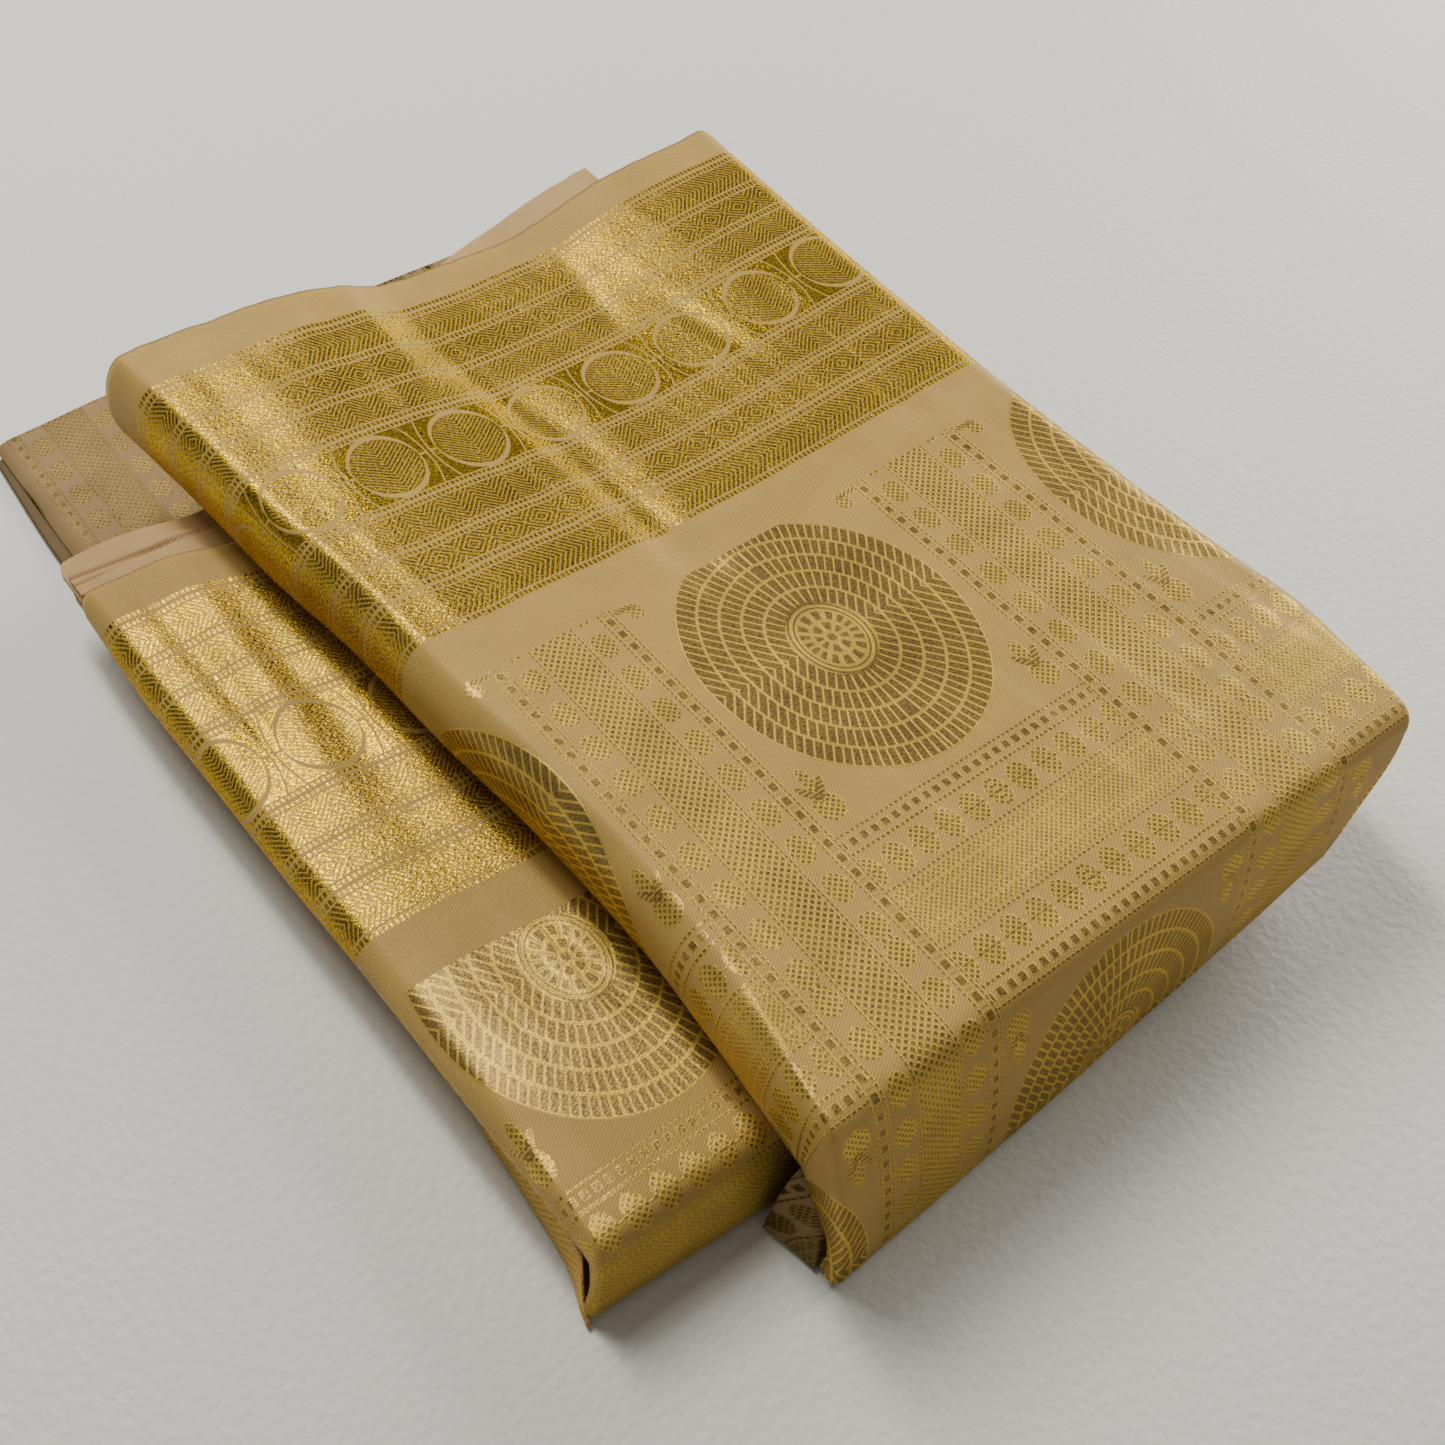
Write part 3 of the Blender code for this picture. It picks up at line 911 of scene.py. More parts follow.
def chart_group(weave: Weave) -> Group:
    """A group that gives where the gold of a border or field shows.

    Args:
        weave: the border or the field.

    Returns:
        The group, with Gold as its result.
    """
    group = Group(weave.value, ("Gold",), ("Across", "Depth"))
    x, v = group.place(1 / (MM * CHART_MM))
    x = x + group["Across"]
    if weave is Weave.BORDER:
        gold = BorderChart().gold(x, v)
    else:
        chart = FieldChart()
        gold = chart.gold(x, v + group["Depth"]) * v.past(chart.start)
    feed(group.sink, Gold=gold.least(1.0))
    return group


def thread_group() -> Group:
    """A group that gives the ground's twill, the gold threads, which also set where the gold's painted glints
    show, and slow changes of tone.

    Returns:
        The group, with Twill, Thread and Tone as its results.
    """
    group = Group("weave", ("Twill", "Thread", "Tone"))
    x, v = group.place(1 / MM)

    def noise(along: float, across: float, detail: float) -> Signal:
        """Smooth noise with so many spots for each millimetre along and across the threads.

        Args:
            along: spots for each millimetre along the cloth.
            across: the same across it.
            detail: how many finer layers are added.

        Returns:
            The noise, from 0 to 1.
        """
        place = make(group.tree, "ShaderNodeCombineXYZ", X=x * along, Y=v * across)
        spots = make(group.tree, "ShaderNodeTexNoise", Scale=1.0, Detail=detail)
        spots.noise_dimensions = "2D"
        feed(spots, Vector=Signal(group.tree, place.outputs[0]))
        return Signal(group.tree, spots.outputs["Fac"])

    twill = ((x * 0.82 + v * 1.17) / 1.3 * math.tau).math("SINE") * 0.5 + 0.5
    thread_and_glint = noise(0.7, 2.2, 1.0).math("MULTIPLY_ADD", 2.6, -0.8, clamp=True)
    feed(group.sink, Twill=twill, Thread=thread_and_glint, Tone=noise(0.03, 0.05, 2.0))
    return group


@dataclass(frozen=True)
class Finish:
    """Silk with or without zari: its colours, and where its pattern starts."""

    name: str
    weave: Weave = Weave.PLAIN
    silk: Colour = (0.505, 0.318, 0.088)
    # Painted glints on the zari: the gold is painted in the first colour where it should catch the light, and
    # in the second between the glints.
    glint_gold: Colour = (0.78, 0.485, 0.006)
    gold_between_glints: Colour = (0.12, 0.074, 0.03)
    sheen: Colour = (1.0, 0.76, 0.36)
    sheen_level: float = 0.3
    metal: float = 0.95
    silk_roughness: float = 0.5
    gold_roughness: float = 0.34
    stretch: float = 0.7  # how far a highlight is drawn out over the threads
    stretch_turn: float = 0.25
    silk_light: tuple[float, float, float] = (0.24, 0.4, 0.66)  # shares of tone and twill, and the rest
    gold_light: tuple[float, float] = (0.7, 0.65)  # share of tone, and the rest
    edge_shine: float = 3.4  # painted highlight along the edges of the field's raised stitches
    # share of the thread noise in the field's painted glints
    thread_shine: float = 0.45
    field_gain: float = 2.4  # how soon the field's gold covers the silk
    across: float = 0.0
    depth: float = 0.0
    relief: float = 0.0001

    def material(self, groups: dict[Weave, Group]) -> bpy.types.Material:
        """Builds the material: colour, metal, roughness and relief from the chart and the threads, with
        glints and stitch-edge highlights painted into the gold's colour.

        Args:
            groups: the chart's group for the border and the field, and the threads' own for plain silk.

        Returns:
            The material.
        """
        material = bpy.data.materials.new(self.name)
        material.use_nodes = True
        tree = material.node_tree
        cloth = make(tree, "ShaderNodeUVMap")
        cloth.uv_map = CLOTH_MAP

        def read(weave: Weave) -> list[Signal]:
            """The results of a weave's group, fed with the cloth's map and this finish's offsets.

            Args:
                weave: which group.

            Returns:
                Its results in order.
            """
            node = make(tree, "ShaderNodeGroup")
            node.node_tree = groups[weave].tree
            offsets = {"Cloth": Signal(tree, cloth.outputs[0]), "Across": self.across, "Depth": self.depth}
            feed(node, **{name: value for name, value in offsets.items() if name in node.inputs})
            return [Signal(tree, socket) for socket in node.outputs]

        twill, thread_and_glint, tone = read(Weave.PLAIN)
        by_tone, by_twill, rest = self.silk_light
        colour = lit_colour(self.silk, tone * by_tone + twill * by_twill + rest)
        height = twill * 0.35
        rough = twill * 0.08 + (self.silk_roughness - 0.04)
        principled = tree.nodes["Principled BSDF"]
        if self.weave is not Weave.PLAIN:
            (gold,) = read(self.weave)
            # Painted glints: where the thread noise is high the gold takes its glint colour, as if it caught
            # the light
            shine = thread_and_glint
            if self.weave is Weave.FIELD:
                # Painted highlight: the edges of a raised stitch, where the chart is between 0 and 1, take
                # the glint colour as if they caught the light
                shine = (gold * (1 - gold) * self.edge_shine + thread_and_glint * self.thread_shine).least(1.0)
                gold = (gold * self.field_gain).least(1.0)
            by_tone, rest = self.gold_light
            # The zari's colour, with its painted glints and random tone
            threads = lit_colour(mixed_colour(self.gold_between_glints, self.glint_gold, shine), tone * by_tone + rest)
            colour = mixed_colour(colour, threads, gold)
            rough = gold * (self.gold_roughness - self.silk_roughness) + self.silk_roughness
            height = thread_and_glint if self.weave is Weave.BORDER else gold * 0.8 + thread_and_glint * 0.5
            feed(principled, Metallic=gold * self.metal)
        bump = make(tree, "ShaderNodeBump", Distance=self.relief, Strength=1.0, Height=height)
        tangent = make(tree, "ShaderNodeTangent")
        tangent.direction_type = "UV_MAP"
        tangent.uv_map = CLOTH_MAP
        feed(principled, Base_Color=colour, Roughness=rough, Normal=Signal(tree, bump.outputs[0]))
        feed(principled, Tangent=Signal(tree, tangent.outputs[0]), Anisotropic=self.stretch)
        feed(principled, Anisotropic_Rotation=self.stretch_turn)
        feed(principled, Specular_IOR_Level=self.sheen_level, Specular_Tint=self.sheen)
        return material


def brocade(
    name: str, border_across: float, field_across: float, field_depth: float
) -> tuple[Finish, Finish]:
    """The finishes of one stretch of brocade.

    Args:
        name: what the stretch is called.
        border_across: how far the border's pattern is moved along the cloth.
        field_across: the same of the field's.
        field_depth: how far the field's pattern is moved towards the selvage.

    Returns:
        The border's finish and the field's, whose gold is paler and duller.
    """
    return (
        Finish(f"{name} border", Weave.BORDER, across=border_across),
        Finish(
            f"{name} field",
            Weave.FIELD,
            glint_gold=(0.72, 0.475, 0.08),
            gold_between_glints=(0.16, 0.102, 0.046),
            metal=0.55,
            gold_roughness=0.42,
            across=field_across,
            depth=field_depth,
        ),
    )


UPPER_BROCADE = brocade("upper", 0.0, 0.0, 0.0)
LOWER_BROCADE = brocade("lower", 1.5, 131.0, 37.0)
# Painted shade: a darkened copy of the brocade for the leaf at the back and the folds behind the front face,
# which lie in shade.
PAINTED_SHADE_BROCADE = tuple(
    replace(finish, silk=(0.30, 0.19, 0.085), glint_gold=(0.24, 0.16, 0.045), gold_between_glints=(0.05, 0.032, 0.012))
    for finish in brocade("leaf", 0.0, 63.0, 6.0)
)
PLAIN_SILK = (Finish("plain silk", silk=(0.55, 0.338, 0.142)),)
# Painted shade: near-black silk for the leaf under the floor leaf, which lies in shadow.
PAINTED_SHADE_SILK = (Finish("painted shade silk", silk=(0.11, 0.07, 0.028)),)


@dataclass
class Pile:
    """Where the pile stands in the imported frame, and the finishes that its pieces share."""

    groups: dict[Weave, Group]
    shift: Array = field(init=False)
    made: list[bpy.types.Object] = field(default_factory=list)

    def __post_init__(self) -> None:
        """Finds the offset from the base layers' right side, front and foot."""
        low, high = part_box("lower_base_layers")
        self.shift = np.array([high.x / MM - BASE_RIGHT, low.y / MM - BASE_FRONT, low.z / MM])

    def place(self, points: Array) -> Array:
        """From the pile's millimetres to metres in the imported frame."""
        return (points + self.shift) * MM

    def material(self, finish: Finish) -> bpy.types.Material:
        """A finish's material, made once."""
        return bpy.data.materials.get(finish.name) or finish.material(self.groups)

    def lay(self, name: str, sheets: Sheets, finishes: Sequence[Finish], node: str) -> None:
        """Args:
            name: the piece's name.
            sheets: its meshes.
            finishes: its finish, or the border's and the field's.
            node: the solid that it replaces.
        """
        piece = sheets.piece(name, [self.material(finish) for finish in finishes], self.place)
        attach(piece, "root")
        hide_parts(node)
        width = float(np.ptp(np.concatenate(sheets.cloth)[:, 0])) * MM
        self.made.append(piece)


@dataclass(frozen=True)
class Steps:
    """How finely a bundle's cloth is cut for its mesh."""

    top: int
    ridge: int
    front: int
    foot: int
    flat: int
    fold: int

    @property
    def rows(self) -> int:
        """Stations from the selvage to the foot."""
        return self.top + 1 + self.ridge + self.front + self.foot

    @property
    def turn(self) -> Array:
        """Sine of a side fold's angle at each level, from 1 on top to -1 underneath."""
        return np.cos(np.linspace(0, np.pi, self.fold))


@dataclass
class Bundle:
    """One folded bundle. Its cloth runs from the selvage forward over the top and down the front face.

    Sizes are in millimetres. A run is a length of cloth from the selvage. A side is 1 on the flat top, and
    goes down to -1 under a side fold. An inset is how far inside the bundle's outside a surface lies.
    """

    top: float
    ridge: float  # y of the front fold
    thick: float
    front_thick: float
    foot_thick: float
    ridge_radius: float
    foot_radius: float
    bulge: float
    left: Curve  # x at each run
    right: Curve  # x at each run
    roll: Curve  # how far the side folds round inwards, at each run
    foot: Curve  # y of the front face's foot
    floor: Curve  # z of the foot
    selvage: Curve
    line: Curve  # y that the pattern is measured from
    creases: tuple[Crease, ...]
    steps: Steps
    layers: int
    recess: float  # of the hidden layers' back edges behind the selvage
    seed: int
    inner_radius: float = 1.5

    def __post_init__(self) -> None:
        """Works out the cloth's length at each station from the path down its middle."""
        middle = np.full((self.steps.rows, 1), (self.left(0.0) + self.right(0.0)) / 2)
        y, z = self.path(middle, np.ones_like(middle), 0.0)
        self.run = path_length(y[:, 0], z[:, 0], 0)

    def sag(self, x: Array, y: Array) -> Array:
        """How far the top lies below its full height."""
        raise NotImplementedError

    def depth(self, thick: float, side: Array, inset: float) -> Array:
        """How far inside the bundle's outside the cloth of a side fold lies."""
        return thick / 2 - (thick / 2 - inset) * side

    def surface(self, x: Array, y: Array, side: Array, inset: float) -> Array:
        """Height of the top, where side is 1, or of the layer under it at that side."""
        return self.top - self.sag(x, y) * (1 + side) / 2 - self.depth(self.thick, side, inset)

    @staticmethod
    def bend(
        start: Sequence[Array], corner: Sequence[Array], end: Sequence[Array], steps: int, rows: slice
    ) -> list[Array]:
        """A quadratic curve past its start and up to its end.

        Args:
            start: Y and Z where it starts.
            corner: Y and Z that it bends towards.
            end: Y and Z where it ends.
            steps: points along it.
            rows: the stations that it takes up.

        Returns:
            Y and Z, a row of values for each point.
        """
        t = (np.arange(steps) + 1).reshape((-1,) + (1,) * (start[0].ndim - 1)) / steps
        weights = ((1 - t) ** 2, 2 * t * (1 - t), t**2)
        return [sum(w * size[rows] for w, size in zip(weights, sizes)) for sizes in zip(start, corner, end)]

    def path(self, x: Array, side: Array, inset: float) -> tuple[Array, Array]:
        """Y and Z along the cloth: level along the top, round the ridge, down the front and round the foot.

        Args:
            x: the place along the cloth of each point, a row for each station.
            side: 1 on the flat, and down to -1 on the underside of a side fold.
            inset: how far inside the bundle's outside the surface lies.

        Returns:
            Y and Z of each point.
        """
        side = np.broadcast_to(side, x.shape)
        flat = (1 + side) / 2
        inner = (self.inner_radius + inset) * (1 - flat)
        ridge_radius = (self.ridge_radius - inset) * flat + inner
        foot_radius = (self.foot_radius - inset) * flat + inner
        behind = self.depth(self.front_thick, side, inset)
        ridge_y = self.ridge + behind
        ridge_z = self.surface(x, ridge_y, side, inset)
        foot_y = self.foot(x) + behind
        foot_z = self.floor(x) + self.depth(self.foot_thick, side, inset)
        length = np.hypot(foot_y - ridge_y, foot_z - ridge_z)
        down = ((foot_y - ridge_y) / length, (foot_z - ridge_z) / length)

        steps = self.steps
        top_rows = slice(0, steps.top + 1)
        ridge_rows = slice(top_rows.stop, top_rows.stop + steps.ridge)
        front_rows = slice(ridge_rows.stop, ridge_rows.stop + steps.front)
        foot_rows = slice(front_rows.stop, steps.rows)
        into_ridge = ridge_y + ridge_radius
        top_end = (into_ridge, self.surface(x, into_ridge, side, inset))
        front_start = (ridge_y + down[0] * ridge_radius, ridge_z + down[1] * ridge_radius)
        front_end = (foot_y - down[0] * foot_radius, foot_z - down[1] * foot_radius)
        belly = ((front_start[0] + front_end[0]) / 2 - 2 * self.bulge, (front_start[1] + front_end[1]) / 2)

        share = np.linspace(0, 1, steps.top + 1).reshape((-1,) + (1,) * (x.ndim - 1))
        back_y = self.selvage(x)
        top_y = back_y[top_rows] + (into_ridge - back_y)[top_rows] * share
        top_z = self.surface(x[top_rows], top_y, side[top_rows], inset)
        over = self.bend(top_end, (ridge_y, ridge_z), front_start, steps.ridge, ridge_rows)
        front = self.bend(front_start, belly, front_end, steps.front, front_rows)
        under = self.bend(front_end, (foot_y, foot_z), (foot_y + foot_radius, foot_z), steps.foot, foot_rows)
        return (
            np.concatenate([top_y, over[0], front[0], under[0]]),
            np.concatenate([top_z, over[1], front[1], under[1]]),
        )

    def sides(self, run: Array, side: Array, inset: float) -> tuple[Array, Array]:
        """X of the left and right folds, each a half circle flattened to the fold's roll."""
        inwards = inset + (self.roll(run) - inset) * drawn_in(side)
        return self.left(run) + inwards, self.right(run) - inwards

    def sheet(self, inset: float) -> Array:
        """The points of the cloth at one inset: left fold, flat, right fold.

        Args:
            inset: how far inside the bundle's outside the surface lies.

        Returns:
            Points, a row for each station.
        """
        run = self.run[:, None]
        turn = self.steps.turn
        left, _ = self.sides(run, turn[None, ::-1], inset)
        _, right = self.sides(run, turn[None, :], inset)
        share = np.linspace(0, 1, self.steps.flat + 1)[None, 1:-1]
        flat = left[:, -1:] + (right[:, :1] - left[:, -1:]) * share
        x = np.concatenate([left, flat, right], axis=1)
        side = np.concatenate([turn[::-1], np.ones(self.steps.flat - 1), turn])[None]
        y, z = self.path(x, side, inset)
        return np.stack([x, y, z], axis=-1)

    def cloth(self, points: Array) -> Array:
        """Where each point of the sheet lies on the cloth.

        Across is X on the flat, and goes on past it by the length of the path round the fold. Depth is the
        station's run, less what the selvage lies behind the pattern's own line.

        Args:
            points: the sheet's points.

        Returns:
            Across and deep from the selvage, for each point.
        """
        fold = self.steps.fold
        across = points[..., 0].copy()
        lengths = np.linalg.norm(np.diff(points, axis=1), axis=-1)
        left = np.cumsum(lengths[:, fold - 2 :: -1], axis=1)[:, ::-1]
        across[:, : fold - 1] = across[:, fold - 1 : fold] - left
        across[:, -fold + 1 :] = across[:, -fold : -fold + 1] + np.cumsum(lengths[:, -fold + 1 :], axis=1)
        share = np.clip(1 - self.run / self.run[self.steps.top], 0, 1)[:, None]
        behind = self.selvage(points[0, :, 0]) - self.line(points[0, :, 0])
        return np.stack([across, self.run[:, None] - behind[None] * share], axis=-1)

    def outer_cloth(self) -> Sheets:
        """The outer cloth as one closed leaf, its inner face a cloth's thickness inside the outer one."""
        inner = self.sheet(CLOTH_THICK)
        outer = closed_rim(self.sheet(0.0), inner)
        sheets = Sheets()
        sheets.add(outer, inner, self.cloth(outer))
        return sheets

    def hidden_leaf(self, side: float, back_in: float, wave: int) -> Leaf:
        """One of the layers inside the outer cloth.

        Args:
            side: its level, from 1 on top to -1 underneath.
            back_in: how far its back edge lies inside the selvage.
            wave: the seed of its uneven shape.

        Returns:
            The leaf.
        """

        def edges(y: Array) -> tuple[Array, Array]:
            """X of its left and right edges."""
            return self.sides(self.selvage(0.0) - y, side, CORE_INSET)

        def middle(x: Array, y: Array) -> Array:
            """Its height, uneven near the back edge."""
            lift = 0.35 * ripples(x, wave, 60.0) * ramp(y - self.selvage(x), -30.0, 30.0)
            return self.surface(x, y, side, CORE_INSET) + lift

        def half(x: Array, y: Array) -> Array:
            """Two fifths of its share of the room."""
            return 0.4 * (self.thick - 2 * CORE_INSET - self.sag(x, y)) / self.layers + 0 * (x + y)

        front = even(self.ridge + self.front_thick + 4)
        back = uneven(self.selvage, -back_in - 1.3, -1.3, wave + 1, 90.0)
        return Leaf(lambda y: edges(y)[0], lambda y: edges(y)[1], front, back, middle, half)

    def hidden_layers(self) -> Sheets:
        """The layers inside the outer cloth: leaves between its inner faces, each with an uneven back edge.

        Leaf k lies where the sine of the side fold's angle is 1 - (2 k + 1) / layers, so that the hollow in
        the top fades towards the underside.

        Returns:
            The leaves.
        """
        draw = np.random.default_rng(self.seed)
        sheets = Sheets()
        for k in range(self.layers):
            back_in = self.recess + draw.uniform(0, 5)
            wave = int(draw.integers(1000))
            self.hidden_leaf(1 - (2 * k + 1) / self.layers, back_in, wave).into(sheets, rows=22, columns=44)
        return sheets


@dataclass
class UpperBundle(Bundle):
    """The bundle on top, whose front fold hangs to the table and lifts off it at the right."""

    top: float = 72.2
    ridge: float = -184.0
    thick: float = 37.8
    front_thick: float = 7.0
    foot_thick: float = 6.0
    ridge_radius: float = 8.0
    foot_radius: float = 4.0
    bulge: float = 2.0
    left: Curve = through(
        (0, 30, 60, 100, 150, 200, 250, 300, 330, 352, 386, 402, 432, 462),
        (-36.5, -33.5, -31.0, -28.5, -22.5, -19.5, -15.0, -13.5, -15.2, -16.5, -18.0, -18.2, -17.6, -20.2),
    )
    right: Curve = through(
        (0, 30, 60, 100, 150, 200, 250, 300, 330, 352, 386, 402, 432, 462),
        (245.0, 243.2, 241.2, 239.0, 237.2, 236.4, 236.8, 239.2, 241.5, 238.0, 229.5, 224.0, 209.0, 205.0),
    )
    roll: Curve = through((0.0, 330.0, 375.0, 400.0), (11.0, 11.0, 5.0, 3.0))
    foot: Curve = through((-20.0, 60.0, 150.0, 240.0), (-199.5, -195.0, -189.0, -186.5))
    floor: Curve = through((-20.0, 130.0, 165.0, 200.0, 240.0), (SKIN_CLEAR, SKIN_CLEAR, 4.5, 13.0, 19.5))
    selvage: Curve = through(
        (-36.0, -20.0, -3.0, 17.0, 46.0, 62.0, 90.0, 140.0, 190.0, 245.0),
        (205.0, 207.0, 207.5, 205.2, 204.4, 203.0, 202.5, 201.0, 202.0, 202.5),
    )
    line: Curve = even(202.0)
    creases: tuple[Crease, ...] = (
        Crease((46.0, 40.0), (190.0, 137.0), 4.5, -0.9),
        Crease((61.0, 60.0), (196.0, 150.0), 4.0, 1.1),
        Crease((76.0, 79.0), (172.0, 110.0), 4.5, -1.0),
        Crease((85.0, 84.0), (104.0, 12.0), 6.0, -1.7, 26.0),
        Crease((71.0, 70.0), (95.0, 30.0), 5.0, 0.8, 20.0),
        Crease((104.0, 100.0), (100.0, 40.0), 6.0, 0.5, 22.0),
        Crease((146.0, 141.0), (172.0, 140.0), 4.0, -0.7),
        Crease((163.0, 165.0), (116.0, 96.0), 3.6, -0.6),
        Crease((194.0, 193.0), (92.0, 26.0), 3.8, -0.7, 20.0),
        Crease((12.0, 2.0), (150.0, 60.0), 9.0, 0.5, 30.0),
        Crease((-8.0, -4.0), (150.0, 20.0), 6.0, -0.5, 30.0),
        Crease((20.0, 225.0), (-60.0, -40.0), 7.0, 0.4, 20.0),
        Crease((130.0, 215.0), (-140.0, -120.0), 6.0, 0.5, 20.0),
    )
    steps: Steps = Steps(top=124, ridge=12, front=32, foot=8, flat=170, fold=28)
    layers: int = 14
    recess: float = 3.0
    seed: int = 21
    hollow_across: Curve = through(
        (-30.0, 20.0, 45.0, 62.0, 80.0, 100.0, 130.0, 150.0, 170.0, 195.0, 245.0),
        (0.0, 0.0, 0.10, 0.42, 0.86, 1.0, 1.0, 0.84, 0.50, 0.20, 0.04),
    )
    hollow_along: Curve = through(
        (-184.0, -100.0, -50.0, 0.0, 50.0, 100.0, 150.0, 202.0),
        (0.0, 1.0, 2.4, 4.4, 7.6, 10.8, 13.4, 14.2),
    )

    def sag(self, x: Array, y: Array) -> Array:
        """How far the top panel lies below its full height.

        The hollow is narrow at the selvage and widens to the whole panel towards the front. Creases and an
        uneven wave along the cloth are taken off it.

        Args:
            x: places along the cloth.
            y: places across the cloth.

        Returns:
            The sag at each place.
        """
        wide = np.sin(np.pi * ramp(x, -20.0, 255.0)) ** 2
        widening = ramp(-y, -190.0, 120.0)
        hollow = self.hollow_along(y) * ((1 - widening) * self.hollow_across(x) + widening * wide)
        waves = 0.35 * ripples(x + 0.12 * y, 3, 46.0) * (0.5 + 0.5 * ripples(y, 4, 160.0, 2))
        edge = 0.8 * ripples(x, 5, 70.0) * ramp(y, 178.0, 24.0) ** 2
        return hollow - ramp(y, -184.0, 40.0) * (lifted(self.creases, x, y) + waves + edge)

    def build(self, pile: Pile) -> None:
        """Lays the outer cloth, the hidden layers, the layers behind the front and the strip at the back.

        Args:
            pile: where the pile stands.
        """
        pile.lay("upper_cloth", self.outer_cloth(), UPPER_BROCADE, "upper_stretch")
        pile.lay("upper_inner_layers", self.hidden_layers(), PLAIN_SILK, "upper_layers")
        # The folds behind the front face are painted in shade with the darkened brocade.
        pile.lay("upper_front_folds", self.front_layers(), PAINTED_SHADE_BROCADE, "upper_front_layers")
        pile.lay("back_selvage", self.back_strip(), PLAIN_SILK, "back_strip")

    def front_layers(self) -> Sheets:
        """The folds behind the front face: two layers that slope down to the table past its left end.

        A layer's height is its full height times 1 - exp(-inwards / slope), where inwards is the distance
        from its left edge, with small wrinkles that die away inwards.

        Returns:
            The two layers.
        """
        start, right, back, high, slope = -21.0, 198.0, -171.8, 32.0, 6.5
        left_edge = through((-200.0, -185.0, -172.0), (-19.0, -21.0, -24.0))
        first_depth = 345.0  # of the cloth at the front of each layer
        sheets = Sheets()
        share = np.linspace(0, 1, 110)[None] ** 2
        deep = np.linspace(0, 1, 36)[:, None] ** 1.3
        front = self.foot(start + (right - start) * share) + self.front_thick + self.inner_radius + SEAM
        y = front + (back - front) * deep
        for seed, pulled, lift in ((300, 0.0, 0.0), (301, 4.5, 1.2)):
            left = left_edge(y) + pulled
            x = left + (right - left) * share
            inwards = x - left
            wrinkles = 0.9 * ripples(y + 0.6 * x, seed, 11.0) * np.exp(-inwards / 12)
            rise = (1 - np.exp(-inwards / slope)) * ramp(y - front, 0.0, 7.0) ** 0.6
            foot = np.maximum(0.6, self.floor(x))
            top = foot + 1.0 + (high - foot) * rise * 0.94 + wrinkles * np.clip(rise * 3, 0, 1) + lift
            outer = np.stack([x, y, top], axis=-1)
            cloth = np.stack([path_length(x, top, 1), first_depth + path_length(y, top, 0)], axis=-1)
            sheets.add(outer, outer + (0.7, 0.4, -0.6), cloth)
        return sheets

    def back_strip(self) -> Sheets:
        """The selvage of a layer under the top panel, which sticks out behind it at the right.

        Returns:
            Its two leaves, one a little lower and drawn in.
        """
        edge = through((96.0, 112.0, 128.0, 142.0, 158.0, 188.0), (200.0, 206.5, 212.0, 214.8, 215.8, 214.5))
        sheets = Sheets()
        for left, right, drop, pulled in ((98.0, 185.0, 0.0, 0.0), (96.0, 182.0, 1.1, 2.2)):

            def middle(x: Array, y: Array, drop: float = drop) -> Array:
                """Its height under the top panel."""
                return self.surface(x, y, 1.0, CORE_INSET + SEAM) - 0.5 - drop

            leaf = Leaf(even(left), even(right), even(195.2), uneven(edge, -pulled), middle, even(0.42))
            leaf.into(sheets, rows=8, columns=60)
        return sheets


@dataclass(frozen=True)
class Strip:
    """One of the selvages that step down behind the lower bundle's outer cloth."""

    edge: Curve  # y of its back edge
    top: float
    thick: float
    left: float
    leaves: int
    seed: int
    rows: int = 12  # places from front to back in each leaf's mesh
    folds: tuple[Crease, ...] = ()


